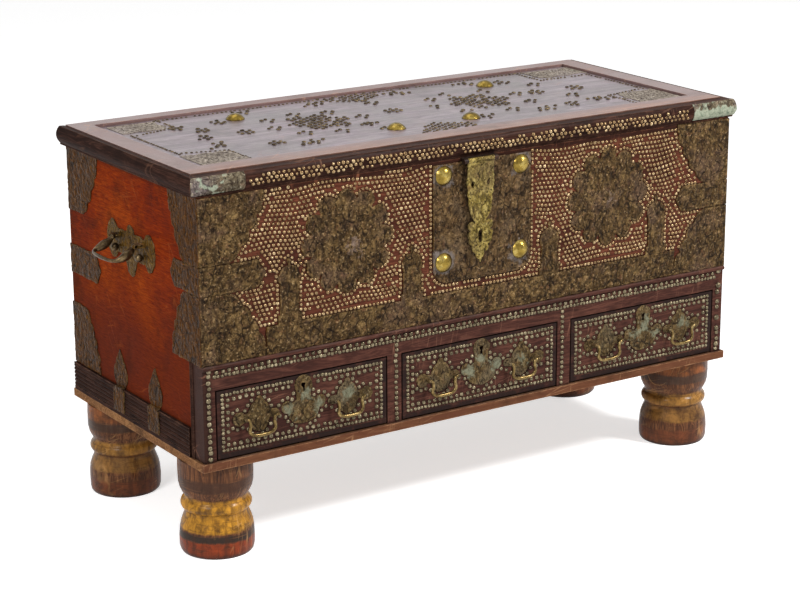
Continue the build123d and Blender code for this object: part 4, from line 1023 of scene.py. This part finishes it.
# Places on the lid in mm from its middle. rosettes: with radius. fans: with heading.
lidSettings = {
    "stud": (4.0, 2.0), "fineStud": (2.5, 1.4), "pitch": 12.8, "lost": 0.05,
    "rosettes": ((-159, 32, 56), (173, 22, 55)),
    "flowers": (
        (-303, 127), (-385, 123), (-385, 31), (-304, 30), (-302, -73), (-1, 40), (306, 33),
        (309, 144), (391, 27), (300, -88), (-360, 84)),
    "buds": (
        (-165, 107), (-104, 90), (-72, 28), (-100, -33), (-162, -54), (-222, -33), (-226, 90), (-248, 28),
        (108, 82), (158, 107), (234, 95), (266, 39), (250, -31), (181, -70), (76, 26), (104, -38),
        (3, 115), (3, 150), (-91, -33), (347, -26), (-89, -78), (345, 90)),
    "budRing": 11, "budTurns": (0.3, 1.6, 2.8, 4.7),
    "fans": (
        (-382, -48, 40), (-93, 186, 200), (-244, -118, 20), (107, -112, 20), (244, -114, 20),
        (375, -61, 160), (96, 186, 160), (-246, 190, 200), (250, 186, 160)),
    "fanRings": ((6, 1), (19, 3), (32, 4)), "fanSpread": 34,
    "bosses": ((-77.5, -87.45), (77.5, -87.45), (-265, 136.1), (265, 136.1)), "bossRoom": (23, 21),
    "borders": (  # from, to, pitch
        ((-478, -58), (-478, 112), 8.2), ((488, -52), (488, 116), 8.2), ((-392, 196), (-62, 196), 9.0),
        ((62, 196), (392, 196), 9.0), ((-470, -52), (-402, -72), 8.0), ((-470, 108), (-402, 126), 8.0),
        ((402, -66), (476, -52), 8.0), ((380, 118), (476, 116), 8.0), ((-386, 128), (-386, 200), 8.0),
        ((380, 128), (380, 200), 8.0), ((-396, -74), (-396, -146), 8.0), ((396, -66), (396, -146), 8.0)),
    "arches": ((-146, 1), (200, -1)), "archHeight": 58, "archPitch": (10, 11.5),
    "borderLost": 0.06, "archLost": 0.1,
}


def lidPlaces(settings):
    spots = []
    pitch = settings["pitch"]
    for x, y, radius in settings["rosettes"]:
        for row in range(-6, 7):
            for step in range(-6, 7):
                dx, dy = row * pitch * 0.866, (step + 0.5 * (row % 2)) * pitch
                if math.hypot(dx, dy) < radius * (1 + 0.1 * math.cos(6 * math.atan2(dy, dx))):
                    spots.append((x + dx, y + dy))
    for x, y in settings["flowers"]:
        spots.append((x, y))
        for turn in range(6):
            angle = math.radians(60 * turn + 30 + dice.uniform(-7, 7))
            spots.append((x + pitch * math.cos(angle), y + pitch * math.sin(angle)))
    ring = settings["budRing"]
    for x, y in settings["buds"]:
        spots += [(x + ring * math.cos(a), y + ring * math.sin(a)) for a in settings["budTurns"]]
    for x, y, heading in settings["fans"]:
        for ring, count in settings["fanRings"]:
            for i in range(count):
                angle = math.radians(heading + 90 + (i - (count - 1) / 2) * settings["fanSpread"])
                spots.append((x + ring * math.cos(angle), y + ring * math.sin(angle)))
    return spots


def studLid(settings):
    def free(x, y, room):
        return all(math.hypot(x - a, y - b) > room for a, b in settings["bosses"])

    def lidStud(x, y, sink, smallest, largest):
        return Vector((x * mm, y * mm, lidTop - sink * mm)), above, dice.uniform(smallest, largest)

    shape, small = (makeStudShape(*(part * mm for part in settings[key])) for key in ("stud", "fineStud"))
    room, fineRoom = settings["bossRoom"]
    places = []
    for x, y in lidPlaces(settings):
        if dice.random() >= settings["lost"] and free(x, y, room):
            x, y = x + dice.gauss(0, 0.9), y + dice.gauss(0, 0.9)
            places.append(lidStud(x, y, 0.3, 0.85, 1.12))
    layStuds("lid_studs", shape, places, "lid", finishes["stud_dark"])
    places = []
    for start, end, pitch in settings["borders"]:
        count = round(math.hypot(end[0] - start[0], end[1] - start[1]) / pitch) + 1
        for i in range(count):
            share = i / (count - 1)
            x = start[0] + (end[0] - start[0]) * share + dice.gauss(0, 0.5)
            y = start[1] + (end[1] - start[1]) * share + dice.gauss(0, 0.5)
            if dice.random() > settings["borderLost"] and free(x, y, fineRoom):
                places.append(lidStud(x, y, 0.2, 0.85, 1.1))
    wide, deep = settings["archPitch"]
    for foot, toward in settings["arches"]:
        for column in range(-6, 7):
            tall = settings["archHeight"] * math.cos(column / 6.5 * 1.5)
            for step in range(int(tall / deep) + 1):
                x, y = column * wide, foot + toward * (step + 0.5 * (column % 2)) * deep
                if dice.random() > settings["archLost"] and free(x, y, fineRoom):
                    x, y = x + dice.gauss(0, 0.6), y + dice.gauss(0, 0.6)
                    places.append(lidStud(x, y, 0.2, 1.1, 1.4))
    layStuds("lid_fine_studs", small, places, "lid", finishes["stud_dark"])
    print("lid studs:", len(places))


# Each plate runs from the lid's corner to its far corner, where its edge is scalloped. All in mm.
lacePlateSettings = {
    "thickness": 1.1, "mesh": 2.3, "hole": 2.9, "pitch": 9.4, "margin": 5, "scallop": (4, 14.0),
    "bend": (16.0, 4.5), "round": 1.25, "solid": (7, 6), "relief": (5.5, 0.45), "green": (0.12, 0.4, 24.0),
    "plates": (
        ((-484, -149), (-391, -66)), ((-484, 193), (-391, 122)),
        ((497, -149), (400, -58)), ((497, 193), (386, 124))),
}


def cutLace(spot, corner, far, settings):  # whether this place is a hole or past the edge
    wide, deep = abs(far[0] - corner[0]), abs(far[1] - corner[1])
    size, reach = settings["bend"]
    spot += noise.noise_vector(spot / size) * reach
    u = (spot.x - corner[0]) * (1 if far[0] > corner[0] else -1)
    w = (spot.y - corner[1]) * (1 if far[1] > corner[1] else -1)
    scallop, length = settings["scallop"]
    edgeU = wide - settings["margin"] - scallop * abs(math.sin(w / length))
    edgeW = deep - settings["margin"] - scallop * abs(math.sin(u / length))
    if u > edgeU or w > edgeW or (u / wide) ** 3 + (w / deep) ** 3 > settings["round"]:
        return True
    step, (near, away) = settings["pitch"], settings["solid"]
    row = round(w / step)
    beside = u - (round(u / step - 0.5 * (row % 2)) + 0.5 * (row % 2)) * step
    inside = near < u < edgeU - away and near < w < edgeW - away
    return inside and math.hypot(beside, w - row * step) < settings["hole"]


def addLacePlate(name, corner, far, settings):
    pickNothing()
    wide, deep = abs(far[0] - corner[0]), abs(far[1] - corner[1])
    middle = (corner[0] + far[0]) / 2 * mm, (corner[1] + far[1]) / 2 * mm
    bpy.ops.mesh.primitive_grid_add(
        x_subdivisions=int(wide / settings["mesh"]), y_subdivisions=int(deep / settings["mesh"]),
        size=1, location=(*middle, lidTop + settings["thickness"] / 2 * mm))
    plate = bpy.context.object
    plate.scale = (wide * mm, deep * mm, 1)
    bpy.ops.object.transform_apply(location=True, rotation=True, scale=True)
    work = bmesh.new()
    work.from_mesh(plate.data)
    relief, green = (work.verts.layers.float.new(layer) for layer in ("relief", "green"))
    dead = [f for f in work.faces if cutLace(f.calc_center_median() / mm, corner, far, settings)]
    bmesh.ops.delete(work, geom=dead, context="FACES")
    grain, rise = settings["relief"]
    least, swing, patch = settings["green"]
    for v in work.verts:
        spot = v.co / mm
        lift = noise.noise(spot / grain)
        v[relief] = 0.5 + 0.5 * lift
        v[green] = least + swing * noise.noise(spot / patch)
        v.co.z += rise * mm * lift
    work.to_mesh(plate.data)
    work.free()
    wall = plate.modifiers.new("wall", "SOLIDIFY")
    wall.thickness = settings["thickness"] * mm
    wall.offset = 0
    bpy.ops.object.modifier_apply(modifier="wall")
    bpy.ops.object.shade_smooth_by_angle(angle=math.radians(40))
    settlePiece(plate, name, "lid", chased["lace_brass"])


# outer and inner row: half length, foot, top, pitch. hug: distance from the plates and pitch.
# field: what the hugging studs keep free beside, below and over them. All in mm.
drawerSettings = {
    "outer": (150.5, 13, 107, 7.1), "inner": (141.5, 21.5, 98.5, 11.5), "small": (3.3, 2.5),
    "hug": (5.2, 9.2), "field": (9, 7, 6), "trace": 1.4, "slack": 0.8, "reach": 14, "clear": 3.4,
}


def hugOutline(tree, low, high, settings):
    spots = []
    gap, pitch = settings["hug"]
    step, slack = settings["trace"] * mm, settings["slack"] * mm
    for row in range(int((high[1] - low[1]) / step)):
        for column in range(int((high[0] - low[0]) / step)):
            spot = Vector((low[0] + column * step, studY, low[1] + row * step))
            distance = tree.find_nearest(spot, settings["reach"] * mm)[3]
            if distance and abs(distance - gap * mm) < slack:
                if all((spot - other).length > pitch * mm for other in spots):
                    spots.append(spot)
    return spots


def studDrawer(side, settings):
    small = makeStudShape(*(part * mm for part in settings["small"]))
    low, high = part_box(side + "_drawer_front")
    middle = (low.x + high.x) / 2
    places = []
    for key, sizes in (("outer", (0.92, 1.08)), ("inner", (1.05, 1.25))):
        half, bottom, top, pitch = settings[key]
        corners = [(middle + x * mm, studY, low.z + z * mm)
                   for x, z in ((-half, bottom), (half, bottom), (half, top), (-half, top))]
        for i in range(4):
            places += rowOfStuds(corners[i], corners[(i + 1) % 4], pitch, front, 0.4, sizes)[:-1]
    plates = surfaceTree([side + "_drawer_plates"])
    half, bottom, top = settings["inner"][:3]
    beside, below, over = settings["field"]
    hugged = hugOutline(
        plates, (middle - (half - beside) * mm, low.z + (bottom + below) * mm),
        (middle + (half - beside) * mm, low.z + (top - over) * mm), settings)
    places += [(spot, front, dice.uniform(1.0, 1.2)) for spot in hugged]
    clear = settings["clear"] * mm
    places = [place for place in places if plates.find_nearest(place[0], clear)[0] is None]
    layStuds(side + "_drawer_studs", small, places, side + "_drawer",
             finishes["stud_grey"])
    print(side, "drawer studs:", len(places))


# stripe: the left cap's green stripe, as its place, height, lean and width. All in mm.
capSettings = {
    "step": 3.0, "depth": 0.9, "cell": (8.0, 8.0, 9.0), "inner": 450, "stripe": (524, 630, 1.2, 22),
}


def crustCaps(settings):
    name = "lid_corner_caps"
    piece, work, relief, green = openSheet(name)
    low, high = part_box(name)
    for index, axis in enumerate(Matrix.Identity(3)):
        start, end = low[index], high[index]
        count = int((end - start) / (settings["step"] * mm))
        for i in range(1, count):
            cut = start + (end - start) * i / count
            if index or abs(cut) >= settings["inner"] * mm:  # between the caps there is nothing to cut
                bmesh.ops.bisect_plane(work, geom=work.verts[:] + work.edges[:] + work.faces[:],
                                       plane_co=axis * cut, plane_no=axis, dist=1e-7)
    work.normal_update()
    x, z, lean, width = settings["stripe"]
    for v in work.verts:
        spot = v.co / mm
        cell = Vector([part / size for part, size in zip(spot, settings["cell"])])
        gaps = noise.voronoi(cell + noise.noise_vector(cell) * 0.6)[0]
        value = min(1.0, (gaps[1] - gaps[0]) * 2.2)
        v[relief] = 0.15 + 0.75 * value
        if spot.x > 0:
            patch = 0.3 + max(0.0, min(1.0, (high.z / mm - 7 - spot.z) / 10))
        else:
            patch = 0.8 * max(0.0, 1 - abs(spot.x + x + lean * (spot.z - z)) / width)
        v[green] = 0.6 * patch + 0.3 * noise.noise(spot / 14) + 0.35 * noise.noise(spot / 6)
        v.co += v.normal * (value - 0.5) * settings["depth"] * mm
    closeSheet(name, piece, work, chased["cap_brass"], 45)


footShape = {
    "sides": 72,
    "outline": (  # height and radius of each turning, mm
        (0, 58.5), (3, 61), (9, 62.3), (24, 62.6), (38, 62.2), (48, 60.4), (57, 57.4), (64, 54.4), (69, 53),
        (72.5, 53), (74, 55), (77, 57.8), (80.5, 59.1), (84.5, 59.2), (88, 58), (91, 55.6), (93, 53.6),
        (96, 53.2), (99, 54), (104, 57), (111, 60.2), (120, 62.2), (134, 62.8), (148, 62.6), (161.4, 62)),
}


def turnFoot(corner, settings):
    pickNothing()
    low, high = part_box("foot_" + corner)
    middle = (low + high) / 2
    outline = settings["outline"]
    bpy.ops.mesh.primitive_circle_add(
        vertices=settings["sides"], radius=outline[0][1] * mm, fill_type="NGON",
        location=(middle.x, middle.y, 0))
    foot = bpy.context.object
    bpy.ops.object.transform_apply(location=True)
    bpy.ops.object.mode_set(mode="EDIT")
    bpy.ops.mesh.select_all(action="SELECT")
    for (bottom, inner), (top, outer) in zip(outline, outline[1:]):
        bpy.ops.mesh.extrude_region_move(TRANSFORM_OT_translate={"value": (0, 0, (top - bottom) * mm)})
        bpy.ops.transform.resize(
            value=(outer / inner, outer / inner, 1), center_override=(middle.x, middle.y, top * mm))
    bpy.ops.mesh.select_all(action="SELECT")
    bpy.ops.mesh.normals_make_consistent(inside=False)
    bpy.ops.object.mode_set(mode="OBJECT")
    for v in foot.data.vertices:
        away = Vector((v.co.x - middle.x, v.co.y - middle.y, 0))
        if away.length > 1e-4 and v.co.z > 1e-4:
            wobble = noise.noise(v.co * 28) * 0.9 + noise.noise(v.co * 110) * 0.35
            v.co += away.normalized() * (wobble - 0.3) * mm
    bpy.ops.object.shade_smooth_by_angle(angle=math.radians(50))
    finish = finishes["foot_ochre" if corner == "front_left" else "foot_wood"]
    settlePiece(foot, "turned_foot_" + corner, "carcass", finish)
    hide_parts("foot_" + corner)


handleSettings = {
    "rod": (  # out from the pivot, along the end, down, radius, mm
        (0, 38, 0, 3.0), (-3, 39.5, -5, 4.6), (-13, 41, -12, 8.4), (-24, 42, -17, 6.6),
        (-33, 40.5, -19.5, 3.4), (-39, 33, -20.5, 2.7), (-41.4, 18, -20.5, 2.8), (-42, 0, -20.5, 3.4)),
    "stop": (7, 43.5, 20, 7), "pin": (38, 4.2), "sides": 4,
}
pullSettings = {
    "rod": (  # along the drawer, down, radius, mm
        (-31, 0, 2.4), (-26.5, 0, 2.6), (-23, -2.5, 2.8), (-21.6, -9, 2.9), (-23.6, -16, 2.9),
        (-24.2, -22, 3.0), (-19, -27.6, 3.1), (-9, -29.6, 3.3), (0, -29.6, 3.5)),
    "sides": 3, "pivot": 2.5,
}


def bendRod(name, spots, sides):
    pickNothing()
    bpy.ops.curve.primitive_nurbs_path_add()
    rod = bpy.context.object
    rod.name = name
    rod.data.splines.clear()
    spline = rod.data.splines.new("NURBS")
    spline.points.add(len(spots) - 1)
    for point, (place, radius) in zip(spline.points, spots):
        point.co = (*place, 1)
        point.radius = radius
    spline.order_u = 3
    spline.use_endpoint_u = True
    rod.data.bevel_depth = mm
    rod.data.bevel_resolution = sides
    rod.data.resolution_u = 6
    rod.data.use_fill_caps = True
    bpy.ops.object.convert(target="MESH")
    return bpy.context.object


def addBall(place, radius):
    pickNothing()
    bpy.ops.mesh.primitive_uv_sphere_add(segments=20, ring_count=12, radius=radius * mm, location=place)
    bpy.ops.object.transform_apply(location=True)
    return bpy.context.object


def joinPieces(pieces):
    pickNothing()
    for piece in pieces:
        piece.select_set(True)
    bpy.context.view_layer.objects.active = pieces[0]
    bpy.ops.object.join()
    bpy.ops.object.shade_smooth_by_angle(angle=math.radians(60))
    return pieces[0]


def addHandle(side, outward, settings):
    joints = frame["record"]["behaviour"]["joints"]
    pivot = Vector(next(joint["pos_m"] for joint in joints if joint["name"] == side + "_handle_hinge"))
    half = [((pivot.x - outward * out * mm, pivot.y + along * mm, pivot.z + down * mm), radius)
            for out, along, down, radius in settings["rod"]]
    other = [((x, 2 * pivot.y - y, z), radius) for (x, y, z), radius in reversed(half[:-1])]
    pieces = [bendRod(side + "_grip", half + other, settings["sides"])]
    low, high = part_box(side + "_handle")
    inner = low.x if outward > 0 else high.x
    out, along, down, radius = settings["stop"]
    for turn in (-1, 1):
        place = (inner + outward * out * mm, pivot.y + turn * along * mm, pivot.z - down * mm)
        pieces.append(addBall(place, radius))
    along, radius = settings["pin"]
    for turn in (-1, 1):
        pieces.append(addBall((pivot.x, pivot.y + turn * along * mm, pivot.z), radius))
    handle = joinPieces(pieces)
    settlePiece(handle, side + "_cast_handle", side + "_handle", finishes["handle_brass"])
    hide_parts(side + "_handle")


def addBail(node, settings):
    low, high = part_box(node)
    middle = (low.x + high.x) / 2
    pivotY, pivotZ = (low.y + high.y) / 2, high.z - settings["pivot"] * mm
    half = [((middle + along * mm, pivotY, pivotZ + down * mm), radius)
            for along, down, radius in settings["rod"]]
    other = [((2 * middle - x, y, z), radius) for (x, y, z), radius in reversed(half[:-1])]
    bail = bendRod(node + "_rod", half + other, settings["sides"])
    bpy.ops.object.shade_smooth()
    settlePiece(bail, node + "_wire", node, finishes["bail_brass"])
    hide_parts(node)


# side: where the end panel's face is. deep: how far the moulding stands proud of it. All in mm.
reedSettings = {
    "reeds": 6, "plain": 7.0, "lip": 2, "depth": 2.4, "deep": 4.95, "side": 540, "rows": 150,
    "posts": 3, "postPitch": 3.6, "postRadius": 1.7,
}


def reedMoulding(side, settings):
    low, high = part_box("end_base_mouldings")
    pickNothing()
    bpy.ops.mesh.primitive_grid_add(x_subdivisions=1, y_subdivisions=settings["rows"], size=1)
    strip = bpy.context.object
    tall, plain, lip = (high.z - low.z) / mm, settings["plain"], settings["lip"]
    pitch = (tall - plain - lip) / settings["reeds"]
    for v in strip.data.vertices:
        rise = (v.co.y + 0.5) * tall
        swell = 0.0
        if plain < rise < tall - lip:
            phase = (rise - plain) / pitch % 1
            swell = 1 - (1 - (2 * phase - 1) ** 2) ** 0.5
        along = low.y if v.co.x < 0 else high.y
        out = settings["side"] + settings["deep"] - settings["depth"] * swell
        v.co = Vector((side * out * mm, along, low.z + rise * mm))
    bpy.ops.object.mode_set(mode="EDIT")
    bpy.ops.mesh.select_all(action="SELECT")
    bpy.ops.mesh.extrude_region_move(TRANSFORM_OT_translate={"value": (0, 0, 0)})
    bpy.ops.object.mode_set(mode="OBJECT")
    for v in strip.data.vertices:
        if v.select:
            v.co.x = side * settings["side"] * mm
    bpy.ops.object.mode_set(mode="EDIT")
    bpy.ops.mesh.select_all(action="SELECT")
    bpy.ops.mesh.normals_make_consistent(inside=False)
    bpy.ops.object.mode_set(mode="OBJECT")
    bpy.ops.object.shade_smooth_by_angle(angle=math.radians(40))
    return strip


def reedPost(side, index, settings):
    low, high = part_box("corner_stiles")
    pickNothing()
    bpy.ops.mesh.primitive_cylinder_add(
        vertices=16, radius=settings["postRadius"] * mm, depth=high.z - low.z - mm,
        location=((settings["side"] + 0.2) * side * mm, high.y - (3 + index * settings["postPitch"]) * mm,
                  (low.z + high.z) / 2))
    bpy.ops.object.transform_apply(location=True)
    return bpy.context.object


def addReeds(settings):
    mouldings = joinPieces([reedMoulding(side, settings) for side in (-1, 1)])
    settlePiece(mouldings, "end_reeded_mouldings", "carcass", finishes["side_wood"])
    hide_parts("end_base_mouldings")
    posts = joinPieces([reedPost(side, index, settings)
                        for side in (-1, 1) for index in range(settings["posts"])])
    settlePiece(posts, "stile_reeds", "carcass", finishes["dark_wood"])


def backdropRays(tree):  # the camera and what mirrors or lets light through see the backdrop white
    paths = put(tree, "LightPath").outputs
    seen = larger(tree, paths["Is Camera Ray"], paths["Is Glossy Ray"])
    return larger(tree, seen, paths["Is Transmission Ray"])


def addFloor():
    pickNothing()
    bpy.ops.mesh.primitive_plane_add(size=40)
    floor = bpy.context.object
    floor.name = "floor"
    material = bpy.data.materials.new("pale_floor")
    material.use_nodes = True
    tree = material.node_tree
    feed(tree, tree.nodes["Principled BSDF"], {
        "Base Color": (0.9, 0.9, 0.9, 1), "Roughness": 0.9, "Specular IOR Level": 0.1,
        "Emission Color": (1, 1, 1, 1), "Emission Strength": times(tree, backdropRays(tree), 0.62)})
    floor.data.materials.append(material)


def setWorld():
    world = bpy.data.worlds.new("studio")
    bpy.context.scene.world = world
    world.use_nodes = True
    tree = world.node_tree
    strength = fade(tree, backdropRays(tree), 0.0, 1.0, 0.3, 1.0)
    feed(tree, tree.nodes["Background"], {"Color": (1, 1, 1, 1), "Strength": strength})


addCamera(cameraSettings)
for name, settings in lampSettings.items():
    addLamp(name, settings)
addFloor()
setWorld()
bpy.context.scene.view_settings.view_transform = "Standard"
print("camera, lamps and floor ready")

for name, settings in sheetSettings.items():
    chaseSheet(name, settings)
studFront(frontStudSettings)
studFrame(railSettings)
studLidEdge(lidEdgeSettings)
studLid(lidSettings)
for index, (corner, far) in enumerate(lacePlateSettings["plates"]):
    addLacePlate("lid_lace_plate_%d" % (index + 1), corner, far, lacePlateSettings)
for side in ("left", "middle", "right"):
    studDrawer(side, drawerSettings)
crustCaps(capSettings)
for corner in ("front_left", "front_right", "back_left", "back_right"):
    turnFoot(corner, footShape)
for side, outward in (("left", -1), ("right", 1)):
    addHandle(side, outward, handleSettings)
for drawer in ("left", "middle", "right"):
    for side in ("left", "right"):
        addBail("%s_drawer_%s_bail" % (drawer, side), pullSettings)
addReeds(reedSettings)
print("feet, handles, pulls and reeds ready")
